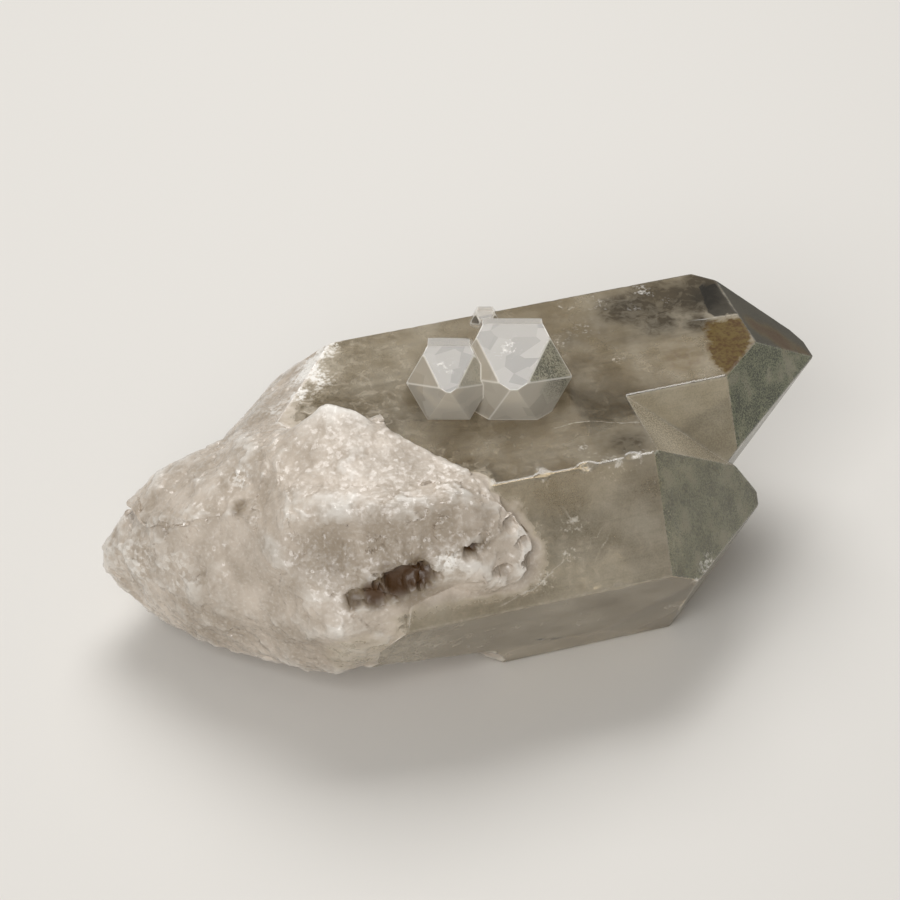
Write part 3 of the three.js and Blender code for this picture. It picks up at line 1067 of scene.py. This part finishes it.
def beyond_shapes(spots, labels, shapes):
    """Distance in mm of each corner outside the nearest shape on its face, negative inside it. Each shape is
    convex, so this is the largest of its distances beyond the shape's sides."""
    found = np.full(len(labels), FAR_MM)
    for owner, kind, turn, places in shapes:
        number = face_numbers([owner], [kind], [turn])[0]
        chosen = labels == number
        places = np.array(places, float)
        along = unit(np.roll(places, -1, 0) - places)
        outward = unit(np.cross(along, FACES[number - 1][3]))
        outward *= np.sign(((places - places.mean(0)) * outward).sum(1))[:, None]
        beyond = (spots[chosen] @ outward.T - (places * outward).sum(1)).max(1)
        found[chosen] = np.minimum(found[chosen], beyond)
    return found


def beside_lines(spots, labels, lines):
    """For each corner, its signed distance in mm from the nearest line on its face, whose sign is the line's
    side, and a share that fades out off that line."""
    beside, near = np.full(len(labels), FAR_MM), np.full(len(labels), FAR_MM)
    for owner, kind, turn, places in lines:
        number = face_numbers([owner], [kind], [turn])[0]
        chosen = np.flatnonzero(labels == number)
        places = np.array(places, float)
        for start, end in zip(places, places[1:]):
            length = np.linalg.norm(end - start)
            along = (end - start) / length
            way = spots[chosen] - start
            side = way @ np.cross(FACES[number - 1][3], along)
            past = np.maximum(np.maximum(-way @ along, way @ along - length), 0)
            distance = np.hypot(side, past)
            nearer = distance < near[chosen]
            near[chosen[nearer]] = distance[nearer]
            beside[chosen[nearer]] = side[nearer]
    return beside, 1 - smooth_step(*LINE_FADES_MM, near)


def milk_of(points):
    """The share of milk at each point if it is on rock, and if it is on a face: on rock the larger of the
    milk left of its ragged end and the thin milk beyond, on a face the larger of haze and fringe."""
    x, y, z = points.T
    drift = MILK_DRIFT_MM * fractal(points, MILK_LUMPS_MM, 2, SEED + 70)
    below_crust = smooth_step(*BELOW_CRUST_Z, z) * smooth_step(*BELOW_CRUST_Y, y)
    behind_wedge = smooth_step(*BEHIND_WEDGE_Y, y)
    milk_end = MILK_END_X - BELOW_CRUST_LEFT * below_crust - BEHIND_WEDGE_LEFT * behind_wedge
    base = 1 - smooth_step(-MILK_FADE_MM, MILK_FADE_MM, x - milk_end + drift)
    thin = LEAST_MILK + THIN_MILK * (1 - smooth_step(*THIN_ENDS_X, x))
    haze = LEAST_HAZE + MORE_HAZE * (1 - smooth_step(*HAZE_ENDS_X, x + drift))
    fringe = FRINGE_MILK * (1 - smooth_step(*FRINGE_ENDS_X, x + FRINGE_DRIFT * drift))
    fringe = fringe * smooth_step(*FRINGE_Y, y) * smooth_step(*FRINGE_Z, z)
    return np.maximum(base, thin), np.maximum(haze, fringe)


def surface_fields(points, triangles, labels, hollow, way):
    """The fields that the quartz material reads, at each triangle corner: shares, where a few go above 1 for
    denser looks, and distances in mm from the shapes and lines on the faces."""
    edges, _ = edges_of(triangles, len(points))
    corners, labels = triangles.ravel(), np.repeat(labels, 3)
    spots = points[corners]
    x, y, _ = spots.T
    rock = on_faces(labels, [ROCK])
    small = on_faces(labels, face_numbers(SMALL_CRYSTALS))
    blurred = np.bincount(corners, rock, len(points)) / np.bincount(corners, minlength=len(points))
    for _ in range(BLUR_ROUNDS):
        blurred = neighbour_mean(blurred, edges)
    # Towards the crystals' tips and at the far side the broken quartz fades into the faces.
    faded = np.maximum(smooth_step(*ROCK_FADES_X, x), smooth_step(*ROCK_FADES_Y, y))
    crusty = (rock * (1 - faded) + blurred[corners] * faded) * placed_share(points, GLASSY_PLACES)[corners]
    crusted = placed(points, CRUSTED_PLACES)[corners] * smooth_step(*CRUST_ENDS_X, x)
    rock_milk, face_milk = (milk[corners] for milk in milk_of(points))
    # Painted shade on broken quartz, set by place.
    shaded = placed(points, SHADED_PLACES)[corners]
    # A painted highlight line beside the crystal edges, partly the white of worn edges.
    worn = 1 - smooth_step(0, EDGE_HIGHLIGHT_MM - EDGE_NARROWER_MM * small, way[corners])
    beside, drawn = beside_lines(spots, labels, LINES)
    return {
        "milky": np.maximum(face_milk + (rock_milk - face_milk) * crusty, crusted) * (1 - small),
        "green": np.maximum(face_amounts(labels, GREEN_FACES), placed(points, GREEN_PLACES)[corners] * small),
        "dull": np.maximum(face_amounts(labels, DULL_FACES), DULL_ROCK * rock * (x > DULL_ROCK_X)),
        "smoky": placed(points, SMOKY_PLACES)[corners] * (1 - rock),
        "rust": placed(points, RUST_PLACES)[corners] * (1 - small),
        "bruise": placed(points, BRUISE_AND_GLINT_PLACES)[corners],
        "small": small,
        # Faces over cloudier quartz, also painted as catching more light, and faces with painted inner
        # reflections.
        "cloudy": face_amounts(labels, CLOUDY_AND_PAINTED_LIGHT_FACES),
        "lit": face_amounts(labels, PAINTED_REFLECTION_FACES),
        "rock": np.maximum(crusty * (1 - smooth_step(*ROCK_ENDS_X, x)), crusted),
        # A painted highlight on crests, and painted shade in hollows and the shaded places.
        "crest": smooth_step(*CREST_MM, -hollow)[corners] * rock,
        "pits": np.maximum(smooth_step(*PIT_MM, hollow)[corners], shaded) * rock,
        "edge": worn * (1 - rock) * placed_share(points, FAINT_PLACES)[corners],
        # Slate patches, near the tip a painted dark reflection; the brown cloud on the tip face is partly
        # painted shade.
        "slate": beyond_shapes(spots, labels, SLATE_AND_REFLECTION_SHAPES),
        "stain": beyond_shapes(spots, labels, STAIN_SHAPES),
        "brown": beyond_shapes(spots, labels, BROWN_AND_SHADE_SHAPES),
        "beside": beside,
        "drawn": drawn,
    }


FIELD = "ShaderNodeAttribute"
MATH = "ShaderNodeMath"
VECTORS = "ShaderNodeVectorMath"
MIX = "ShaderNodeMix"
NOISE = "ShaderNodeTexNoise"
CELLS = "ShaderNodeTexVoronoi"
RANGE = "ShaderNodeMapRange"
MAPPING = "ShaderNodeMapping"
# Settings that many nodes share. A sum multiplies its first two inputs and adds the third.
PRODUCT = {"operation": "MULTIPLY"}
SUM = {"operation": "MULTIPLY_ADD"}
HIGHER = {"operation": "MAXIMUM"}
LESS = {"operation": "SUBTRACT"}
SMOOTH = {"interpolation_type": "SMOOTHSTEP"}
COLOUR = {"data_type": "RGBA"}


def add_node(tree, kind, inputs=(), out=None, **settings):
    """Adds a node with its settings and fills or links its inputs, which are given by name or else in the
    order that the node shows them. Gives the output that is named, or its first, or the node itself if it has
    none."""
    node = tree.nodes.new(kind)
    for setting, value in settings.items():
        setattr(node, setting, value)
    shown = [socket for socket in node.inputs if socket.enabled]
    for socket, value in inputs.items() if isinstance(inputs, dict) else zip(shown, inputs):
        socket = node.inputs[socket] if isinstance(socket, str) else socket
        if isinstance(value, bpy.types.NodeSocket):
            tree.links.new(value, socket)
        else:
            socket.default_value = value
    return node.outputs[out] if out else next((socket for socket in node.outputs if socket.enabled), node)


def blank_tree(name):
    """A new node material and what adds a node to its empty tree."""
    material = bpy.data.materials.new(name)
    material.use_nodes = True
    material.node_tree.nodes.clear()
    return material, partial(add_node, material.node_tree)


def per_mm(size):
    """Texture scale that gives features of this size in millimetres."""
    return 1 / (size * MM)


def quartz_patterns(add, look):
    """Adds the patterns that the looks share, with their sizes in mm: clouds with ever finer edges, wisps
    drawn out along the crystals, lumps, a mottle, sugary grains, dust, streaks along the large crystals,
    growth steps across them, glinting shards, and the straight-sided patches of painted inner reflections."""
    # Real chlorite dust and growth steps are too fine to show, so they are drawn 0.24 and 0.9 mm coarse.
    place = add("ShaderNodeTexCoord", out="Object")
    drawn_out, along, across = (
        add(MAPPING, {"Vector": place, "Scale": stretch})
        for stretch in ((0.3, 1, 1), (0.05, 1, 1), (1, 0.05, 0.05))
    )
    for name, spread, size, detail, roughness, distortion in (
        ("clouds", place, 13, 6, 0.62, 0),
        ("wisps", drawn_out, 2.6, 5, 0.65, 0.5),
        ("lumps", place, 5, 5, 0.55, 0),
        ("mottle", place, 1.7, 5, 0.6, 0.8),
        ("grains", place, 0.6, 4, 0.6, 0),
        ("dust", place, 0.24, 2, 0.5, 0),
        ("streaks", along, 1.3, 5, 0.6, 0),
        ("steps", across, 0.9, 1, 0.5, 0),
    ):
        inputs = {"Vector": spread, "Scale": per_mm(size), "Detail": detail, "Roughness": roughness}
        setattr(look, name, add(NOISE, {**inputs, "Distortion": distortion}))
    for name, size in (("shards", 0.7), ("patches", 3.2)):
        setattr(look, name, add(CELLS, {"Vector": place, "Scale": per_mm(size)}, out="Color"))


def clear_quartz(add, look, colours):
    """Colour of clear and hazy quartz: clouds, wisps and fine dark streaks in the large crystals. In the small
    ones, painted light on the facets over cloudier quartz, and patches of painted inner reflections."""
    hazy = add(RANGE, (look.clouds, 0.3, 0.7), **SMOOTH)
    haze = add(MIX, (hazy, colours.haze_dark, colours.haze_light), **COLOUR)
    wispy = add(RANGE, (look.wisps, 0.5, 0.74, 0, 0.35))
    haze = add(MIX, (wispy, haze, colours.haze_light), **COLOUR)
    # Painted light in the small crystals: patches of inner reflections, and facets over cloudier quartz painted
    # as if they catch more light.
    look.patched = add(RANGE, (look.patches, 0.3, 0.75))
    inner = add(MIX, (look.patched, colours.painted_reflection_dark, colours.painted_reflection_light), **COLOUR)
    bright = add(MATH, (look.patched, 0.2, 0.3), **SUM)
    bright = add(MATH, (look.cloudy, 0.75, bright), use_clamp=True, **SUM)
    clear = add(MIX, (bright, colours.clear_unlit, colours.clear), **COLOUR)
    clear = add(MIX, (look.lit, clear, inner), **COLOUR)
    haze = add(MIX, (look.small, haze, clear), **COLOUR)
    streaked = add(RANGE, (look.streaks, 0.52, 0.7, 0, 0.22))
    streaked = add(MATH, (streaked, look.large), **PRODUCT)
    return add(MIX, (streaked, haze, colours.smoky), **COLOUR)


def milky_quartz(add, look, colours):
    """Colour of milky quartz: creamy, with a painted highlight on crests, white sugary grains that are partly
    painted glints, and painted shade in hollows and shaded places. Where it is bruised or glints, each small
    facet gets painted light or painted shade."""
    lumpy = add(RANGE, (look.lumps, 0.36, 0.62, 0.4, 1))
    milk = add(MIX, (lumpy, colours.milk_shade, colours.milk), **COLOUR)
    # Painted highlight on crests, painted shade in hollows, and white grains that are partly painted glints.
    crest_highlight = add(MATH, (look.crest, 0.6), **PRODUCT)
    hollow_shade = add(MATH, (look.pits, 0.75), **PRODUCT)
    sugary = add(RANGE, (look.grains, 0.5, 0.74, 0, 0.27))
    # Where the quartz is bruised or glints, single facets get painted light or painted shade.
    facets = add(MATH, (look.rock, look.bruise), use_clamp=True, **PRODUCT)
    facet_painted_light = add(RANGE, (look.shards, 0.5, 0.8, 0, 0.9))
    facet_painted_light = add(MATH, (facet_painted_light, facets), **PRODUCT)
    facet_painted_shade = add(RANGE, (look.shards, 0.15, 0.4, 0.8, 0))
    facet_painted_shade = add(MATH, (facet_painted_shade, facets), **PRODUCT)
    for share, colour in (
        (crest_highlight, colours.frost_and_highlight),
        (hollow_shade, colours.milk_shade),
        (sugary, colours.frost_and_highlight),
        (facet_painted_light, colours.frost_and_highlight),
        (facet_painted_shade, colours.milk_shade),
    ):
        milk = add(MIX, (share, milk, colour), **COLOUR)
    return milk


def dull_growth(add, look, colours, body):
    """Dull faces are greyer, with fine specks."""
    specked = add(RANGE, (look.dust, 0.4, 0.62, 0.66, 0.5))
    dulled = add(MATH, (look.dull, specked), **PRODUCT)
    not_milky = add(MATH, (1, look.milky), **LESS)
    look.dulled = add(MATH, (dulled, not_milky), **PRODUCT)
    return add(MIX, (look.dulled, body, colours.dull), **COLOUR)


def smoky_clouds(add, look, colours, body):
    """Smoky clouds; the brown cloud under its growth line, partly painted shade; and slate-dark patches, near
    the tip a painted dark reflection.
    """
    smoke_shape = add(RANGE, (look.mottle, 0.3, 0.62, 0.38, 0.85))
    smoke = add(MATH, (look.smoky, smoke_shape), **PRODUCT)
    brown_edge = add(MATH, (look.mottle, 2.2, look.brown), **SUM)
    # The brown cloud on the main crystal's tip face, partly painted shade.
    look.browned = add(RANGE, (brown_edge, 0.6, 1.4, 0.95, 0))
    look.smoke = add(MATH, (smoke, look.browned), **HIGHER)
    deep = add(RANGE, (look.smoky, 0.8, 1.5, 0, 0.72))
    deep_shape = add(RANGE, (look.clouds, 0.38, 0.58, 0.35, 1))
    deep = add(MATH, (deep, deep_shape), **PRODUCT)
    deep = add(MATH, (look.browned, 0.7, deep), use_clamp=True, **SUM)
    # Slate-dark patches: near the tip a painted dark reflection.
    slate_edge = add(MATH, (look.mottle, 1.2, look.slate), **SUM)
    look.slated = add(RANGE, (slate_edge, 0.42, 0.8, 0.9, 0))
    for share, colour in ((look.smoke, colours.smoky), (deep, colours.slate), (look.slated, colours.slate)):
        body = add(MIX, (share, body, colour), **COLOUR)
    return body


def iron_stain(add, look, colours, body):
    """Iron stain: mottled in its patch, soft elsewhere."""
    stain_edge = add(MATH, (look.mottle, -3, look.stain), **SUM)
    patched = add(RANGE, (stain_edge, -2.1, -0.9, 0.95, 0))
    soft = add(MATH, (look.rust, 1.5, -0.5), **SUM)
    soft = add(MATH, (look.mottle, soft), operation="ADD")
    soft = add(RANGE, (soft, 0.25, 1.1))
    soft = add(MATH, (soft, look.rust), **PRODUCT)
    look.stained = add(MATH, (patched, soft), **HIGHER)
    thick = add(MATH, (look.mottle, 0.5, look.grains), **SUM)
    thick = add(RANGE, (thick, 0.58, 0.98), **SMOOTH)
    deep = add(RANGE, (look.rust, 0.55, 0.95), **SMOOTH)
    thick = add(MATH, (thick, deep), **HIGHER)
    iron = add(MIX, (thick, colours.rust_gold, colours.rust), **COLOUR)
    return add(MIX, (look.stained, body, iron), **COLOUR)


def chlorite_dust(add, look, colours, body):
    """Chlorite: a thin green film, with dark grains that crowd together in places. On the small crystals it
    is mostly grains, with clear quartz between them."""
    crowd = add(MATH, (look.lumps, 0.55, look.dust), **SUM)
    crowd = add(RANGE, (crowd, 0.72, 0.88), **SMOOTH)
    film = add(MIX, (crowd, colours.chlorite_pale, colours.chlorite), **COLOUR)
    film_shape = add(RANGE, (look.lumps, 0.28, 0.48, 0.45, 1))
    filmed = add(MATH, (look.green, film_shape), **PRODUCT)
    bare = add(MATH, (crowd, -0.25, 0.4), **SUM)
    bare = add(MATH, (bare, look.small), **PRODUCT)
    covered = add(MATH, (1, bare), **LESS)
    look.filmed = add(MATH, (filmed, covered), **PRODUCT)
    return add(MIX, (look.filmed, body, film), **COLOUR)


def white_marks(add, look, colours, body):
    """White flecks where the quartz is bruised, partly painted glints, a painted highlight along crystal edges
    that is beaded where they are worn, and fine white lines beside the drawn lines, broken and wavy."""
    # White flecks, partly bruises and partly painted glints.
    flecks = add(MATH, (look.mottle, 0.6, look.grains), **SUM)
    flecks = add(MATH, (look.bruise, 0.2, flecks), **SUM)
    flecks = add(RANGE, (flecks, 0.93, 1.1, 0, 0.85))
    flecks = add(MATH, (look.bruise, flecks), **PRODUCT)
    # Along crystal edges a painted highlight: solid on the small crystals, beaded like worn white chips on the
    # large ones.
    beads = add(RANGE, (look.grains, 0.35, 0.65, 0, 0.9))
    beads = add(MATH, (beads, look.small), **HIGHER)
    edge_share = add(MATH, (look.small, 0.5, 0.2), **SUM)
    beads = add(MATH, (beads, edge_share), **PRODUCT)
    edged = add(MATH, (look.edge, beads), **PRODUCT)
    line = add(MATH, (look.wisps, 1.6, -0.8), **SUM)
    line = add(MATH, (line, look.beside), operation="ADD")
    line = add(MATH, (line,), operation="ABSOLUTE")
    line = add(RANGE, (line, 0.03, 0.2, 0.36, 0))
    line = add(MATH, (line, look.drawn), **PRODUCT)
    broken = add(RANGE, (look.mottle, 0.38, 0.58, 0.15, 1))
    line = add(MATH, (line, broken), **PRODUCT)
    white = add(MATH, (flecks, edged), **HIGHER)
    look.white = add(MATH, (white, line), **HIGHER)
    return add(MIX, (look.white, body, colours.frost_and_highlight), **COLOUR)


def light_through(add, look):
    """The share of light that goes through: most in the small crystals, none in the milk, and less wherever
    something lies on or in the surface."""
    through = add(RANGE, (look.milky, 0, 0.7, 0.88, 0))
    veiled = add(RANGE, (look.clouds, 0.3, 0.7, 1.06, 0.78))
    through = add(MATH, (through, veiled), **PRODUCT)
    # Less light goes through where inner reflections are painted, and over cloudier quartz.
    small_through = add(MATH, (look.lit, -0.36, 0.86), **SUM)
    clouded = add(MATH, (look.patched, 0.12, 0.44), **SUM)
    clouded = add(MATH, (clouded, look.cloudy), **PRODUCT)
    small_through = add(MATH, (small_through, clouded), **LESS)
    through = add(MIX, (look.small, through, small_through))
    for cover, share in (
        (look.dulled, 0.7),
        (look.filmed, 0.75),
        (look.stained, 1),
        (look.slated, 1),
        (look.smoke, 1),
        (look.white, 1),
    ):
        left = add(MATH, (cover, -share, 1), use_clamp=True, **SUM)
        through = add(MATH, (through, left), **PRODUCT)
    return through


def quartz_roughness(add, look):
    """Glassy on clear faces, sugary on milk, duller where a face is dull, dusted or brown."""
    rough = add(RANGE, (look.milky, 0, 0.8, 0.06, 0.42))
    covered = add(MATH, (look.dulled, look.filmed), **HIGHER)
    rough = add(MATH, (covered, 0.26, rough), **SUM)
    rough = add(MATH, (look.browned, 0.5, rough), **SUM)
    return add(MIX, (look.small, rough, 0.05))


def quartz_normals(add, look):
    """The bumped normal, of sugary grain on fractures and growth steps across the faces, and the coat's
    normal, which each small shard of a fracture tilts its own way."""
    grain_height = add(MATH, (look.grains, look.rock), **PRODUCT)
    step_share = add(MATH, (look.large, 0.05), **PRODUCT)
    height = add(MATH, (look.steps, step_share, grain_height), **SUM)
    bumped = add("ShaderNodeBump", {"Strength": 0.38, "Distance": 0.2 * MM, "Height": height})
    tilt = add(VECTORS, (look.shards, (0.5, 0.5, 0.5)), **LESS)
    tilt_share = add(MATH, (look.rock, 0.75), **PRODUCT)
    tilt = add(VECTORS, (tilt, tilt_share), operation="SCALE")
    glinting = add(VECTORS, (bumped, tilt), operation="ADD")
    return bumped, add(VECTORS, (glinting,), operation="NORMALIZE")


def quartz_material(colours, field_names):
    """Natural quartz, grown and broken: hazy, part clear crystal faces with a glassy shine, running into
    milky quartz with sugary fractures. Some faces are dusted green by chlorite, some are dull from fine
    growth steps, and iron stains the hollows brown."""
    material, add = blank_tree("Quartz, natural faces and fractures")
    look = SimpleNamespace(**{name: add(FIELD, out="Fac", attribute_name=name) for name in field_names})
    quartz_patterns(add, look)
    look.large = add(MATH, (1, look.small), **LESS)
    # The milk ends raggedly.
    ragged = add(MATH, (look.mottle, 0.55, look.milky), **SUM)
    look.milky = add(RANGE, (ragged, 0.3, 0.86), **SMOOTH)
    haze, milk = clear_quartz(add, look, colours), milky_quartz(add, look, colours)
    body = add(MIX, (look.milky, haze, milk), **COLOUR)
    for layer in (dull_growth, smoky_clouds, iron_stain, chlorite_dust, white_marks):
        body = layer(add, look, colours, body)
    bumped, glinting = quartz_normals(add, look)
    unstained = add(MATH, (look.stained, -0.9, 1), **SUM)
    coat = add(MATH, (look.rock, 0.75), **PRODUCT)
    coat = add(MATH, (coat, unstained), **PRODUCT)
    shader = add(
        "ShaderNodeBsdfPrincipled",
        {
            "Base Color": body,
            "Roughness": quartz_roughness(add, look),
            "IOR": 1.544,
            "Normal": bumped,
            "Transmission Weight": light_through(add, look),
            "Coat Weight": coat,
            "Coat Roughness": 0.1,
            "Coat IOR": 1.54,
            "Coat Normal": glinting,
        },
    )
    absorb = add("ShaderNodeVolumeAbsorption", {"Color": colours.absorption, "Density": ABSORPTION_PER_M})
    add("ShaderNodeOutputMaterial", {"Surface": shader, "Volume": absorb})
    return material


def floor_material(colour):
    """Matt white laminate, evenly pale and without shine."""
    material, add = blank_tree("Matt pale laminate")
    place = add("ShaderNodeTexCoord", out="Object")
    grain = add(NOISE, {"Vector": place, "Scale": per_mm(2.5)})
    bumped = add("ShaderNodeBump", {"Strength": 0.03, "Distance": 0.05 * MM, "Height": grain})
    shader = add("ShaderNodeBsdfPrincipled", {"Base Color": colour, "Roughness": 0.9, "Normal": bumped})
    add("ShaderNodeOutputMaterial", {"Surface": shader})
    return material


def laid_floor(scene, studio):
    """The floor, linked to the scene."""
    mesh = bpy.data.meshes.new("floor")
    corners = [(x * FLOOR_HALF, y * FLOOR_HALF, FLOOR_LEVEL) for x, y in ((-1, -1), (1, -1), (1, 1), (-1, 1))]
    mesh.from_pydata(corners, [], [(0, 1, 2, 3)])
    mesh.materials.append(floor_material(studio.floor_colour))
    floor = bpy.data.objects.new("floor", mesh)
    scene.collection.objects.link(floor)
    return floor


def hang_lights(scene, studio):
    """Sets the room's even light and hangs the two soft lamps."""
    world = bpy.data.worlds.new("Room")
    world.use_nodes = True
    world.node_tree.nodes.clear()
    add = partial(add_node, world.node_tree)
    sky = add("ShaderNodeBackground", {"Color": studio.floor_colour, "Strength": studio.world})
    add("ShaderNodeOutputWorld", {"Surface": sky})
    scene.world = world
    for name, turn, height, away, size in LAMPS:
        lamp = bpy.data.lights.new(name, "AREA")
        lamp.energy, lamp.size, lamp.shape = getattr(studio, name + "_power"), size, "SQUARE"
        light = bpy.data.objects.new(name, lamp)
        towards = Vector(direction(turn, height))
        light.location = LAMP_TARGET + towards * away
        light.rotation_euler = towards.to_track_quat("Z", "Y").to_euler()
        scene.collection.objects.link(light)


def set_camera(scene, studio):
    """Points the scene's camera at the cluster's middle from its azimuth, elevation and distance."""
    lens = bpy.data.cameras.new("camera")
    lens.lens, lens.sensor_width = studio.lens, SENSOR_WIDTH_MM
    lens.clip_start, lens.clip_end = CLIP_NEAR, CLIP_FAR
    camera = bpy.data.objects.new("camera", lens)
    a, e = studio.azimuth, studio.elevation
    back = Vector((math.sin(a) * math.cos(e), -math.cos(a) * math.cos(e), math.sin(e)))
    target = Vector(-FRAME_SHIFT * MM) + Vector((0, 0, TARGET_HEIGHT))
    camera.location = target + back * studio.distance
    camera.rotation_euler = back.to_track_quat("Z", "Y").to_euler()
    scene.collection.objects.link(camera)
    scene.camera = camera


def colour_property(name, code, description):
    """A colour whose default is an sRGB hex colour."""
    return FloatVectorProperty(
        name=name, description=description, subtype="COLOR", size=4, min=0, max=1, default=linear(code)
    )


def length_property(name, millimetres, description):
    """A length in millimetres."""
    return FloatProperty(name=name, description=description, default=millimetres, min=0.01, max=10)


class QuartzSizes(PropertyGroup):
    """Sizes of the cluster's fine relief, in millimetres."""

    rock_edge: length_property("Rock mesh", 0.68, "Longest mesh edge on broken quartz, in mm")
    face_edge: length_property("Face mesh", 1.9, "Longest mesh edge on crystal faces, in mm")
    crease_edge: length_property("Edge mesh", 0.5, "Longest mesh edge along a crystal edge, in mm")
    wear_width: length_property("Edge wear", 0.42, "Width of the wear beside a crystal edge, in mm")
    relief: FloatProperty(name="Relief", description="Share of the broken relief in use", default=0.85, min=0)
    fill_width: length_property("Fill", 4.6, "Half the width of the folds that fill up, in mm")
    melt_rounds: IntProperty(name="Melt", description="Rounds of smoothing on broken quartz", default=18)
    hollow_rounds: IntProperty(name="Hollows", description="Rounds of smoothing to find hollows", default=36)


class QuartzColours(PropertyGroup):
    """Colours of the quartz and of what is in and on it."""

    haze_light: colour_property("Light haze", "dcd2bd", "Cloudy quartz where it is light")
    haze_dark: colour_property("Dark haze", "a8997c", "Cloudy quartz where it is deep")
    # The small crystals' colours are painted light: one where a facet catches light, one where it doesn't, and
    # the light and dark of their painted inner reflections.
    clear: colour_property("Clear", "ebe5d8", "The clear small crystals where they catch light")
    painted_reflection_light: colour_property("Inner light", "b5b0a7", "Inner reflections in the small crystals")
    painted_reflection_dark: colour_property("Inner dark", "88837a", "The small crystals between inner reflections")
    clear_unlit: colour_property("Clear depth", "cbbda6", "The clear small crystals elsewhere")
    milk: colour_property("Milk", "cabdae", "Opaque milky quartz")
    # Milk shade is partly a random deeper tone of the milk, and partly painted shade in hollows, in the shaded
    # places and on single facets.
    milk_shade: colour_property("Milk shade", "928370", "Milky quartz in hollows and where it is thinner")
    # This white is also that of painted highlights: on crests, grains, single facets, glints and crystal edges.
    frost_and_highlight: colour_property("Frost", "f1ede6", "Bruised, frosty white quartz")
    # Smoky and slate also paint shade on the main crystal's tip face, and slate paints a dark reflection near
    # the tip.
    smoky: colour_property("Smoky", "574d3d", "Smoky clouds inside the clear quartz")
    slate: colour_property("Slate", "25231f", "Dark growth step near the tip")
    dull: colour_property("Dull", "bab09b", "Fine growth texture on dull faces")
    rust: colour_property("Rust", "4b3011", "Iron stain where it is thick")
    rust_gold: colour_property("Gold stain", "645228", "Iron stain where it is thin")
    chlorite: colour_property("Chlorite", "2c3322", "Dark grains of chlorite")
    chlorite_pale: colour_property("Chlorite film", "7c8064", "Thin film of chlorite")
    absorption: colour_property("Absorption", "cfc4b0", "Tint that light takes on its way through")


class QuartzStudio(PropertyGroup):
    """The floor, lights and camera."""

    floor_colour: colour_property("Floor", "dedbd6", "Plain floor")
    key_power: FloatProperty(name="Key", description="Power of the soft box above", default=2.7, unit="POWER")
    fill_power: FloatProperty(name="Fill", description="Power of the front lamp", default=4.4, unit="POWER")
    world: FloatProperty(name="Room light", description="Strength of the room's even light", default=0.32)
    azimuth: FloatProperty(
        name="Azimuth", description="Camera's turn", default=math.radians(-17.8), subtype="ANGLE"
    )
    elevation: FloatProperty(
        name="Elevation", description="Camera above the floor", default=math.radians(38.7), subtype="ANGLE"
    )
    distance: FloatProperty(name="Distance", description="Camera to target", default=0.56, unit="LENGTH")
    lens: FloatProperty(name="Lens", description="Focal length in mm", default=140, min=20)


class QUARTZ_OT_skin(Operator):
    """Builds the cluster's finished surface over its solid"""

    bl_idname = "quartz.skin"
    bl_label = "Quartz skin"

    def execute(self, context):
        points, triangles, labels, hollow, way = worn_cluster(context.scene.quartz_sizes)
        fields = surface_fields(points, triangles, labels, hollow, way)
        piece = mesh_piece("quartz_cluster_skin", points, triangles, fields)
        mesh = piece.data
        mesh.polygons.foreach_set("use_smooth", np.ones(len(mesh.polygons), bool))
        mesh.set_sharp_from_angle(angle=SHARP_ANGLE)
        mesh.materials.append(quartz_material(context.scene.quartz_colours, fields))
        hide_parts(NODE)
        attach(piece, BODY)
        return {"FINISHED"}


class QUARTZ_OT_studio(Operator):
    """Lays the floor, hangs the lights and sets the camera"""

    bl_idname = "quartz.studio"
    bl_label = "Studio"

    def execute(self, context):
        scene, studio = context.scene, context.scene.quartz_studio
        scene.view_settings.view_transform = "Standard"
        floor = laid_floor(scene, studio)
        hang_lights(scene, studio)
        set_camera(scene, studio)
        return {"FINISHED"}


class QUARTZ_PT_panel(Panel):
    """Shows the buttons that build the cluster's skin and its stage"""

    bl_label = "Quartz cluster"
    bl_idname = "QUARTZ_PT_panel"
    bl_space_type = "VIEW_3D"
    bl_region_type = "UI"
    bl_category = "Quartz"

    def draw(self, context):
        for operator in (QUARTZ_OT_skin, QUARTZ_OT_studio):
            self.layout.operator(operator.bl_idname)


CLASSES = (QuartzSizes, QuartzColours, QuartzStudio, QUARTZ_OT_skin, QUARTZ_OT_studio, QUARTZ_PT_panel)


def register():
    for item in CLASSES:
        bpy.utils.register_class(item)
    bpy.types.Scene.quartz_sizes = PointerProperty(type=QuartzSizes)
    bpy.types.Scene.quartz_colours = PointerProperty(type=QuartzColours)
    bpy.types.Scene.quartz_studio = PointerProperty(type=QuartzStudio)


def unregister():
    del bpy.types.Scene.quartz_studio
    del bpy.types.Scene.quartz_colours
    del bpy.types.Scene.quartz_sizes
    for item in reversed(CLASSES):
        bpy.utils.unregister_class(item)


def main():
    register()
    bpy.ops.quartz.skin()
    bpy.ops.quartz.studio()


if __name__ == "__main__":
    main()
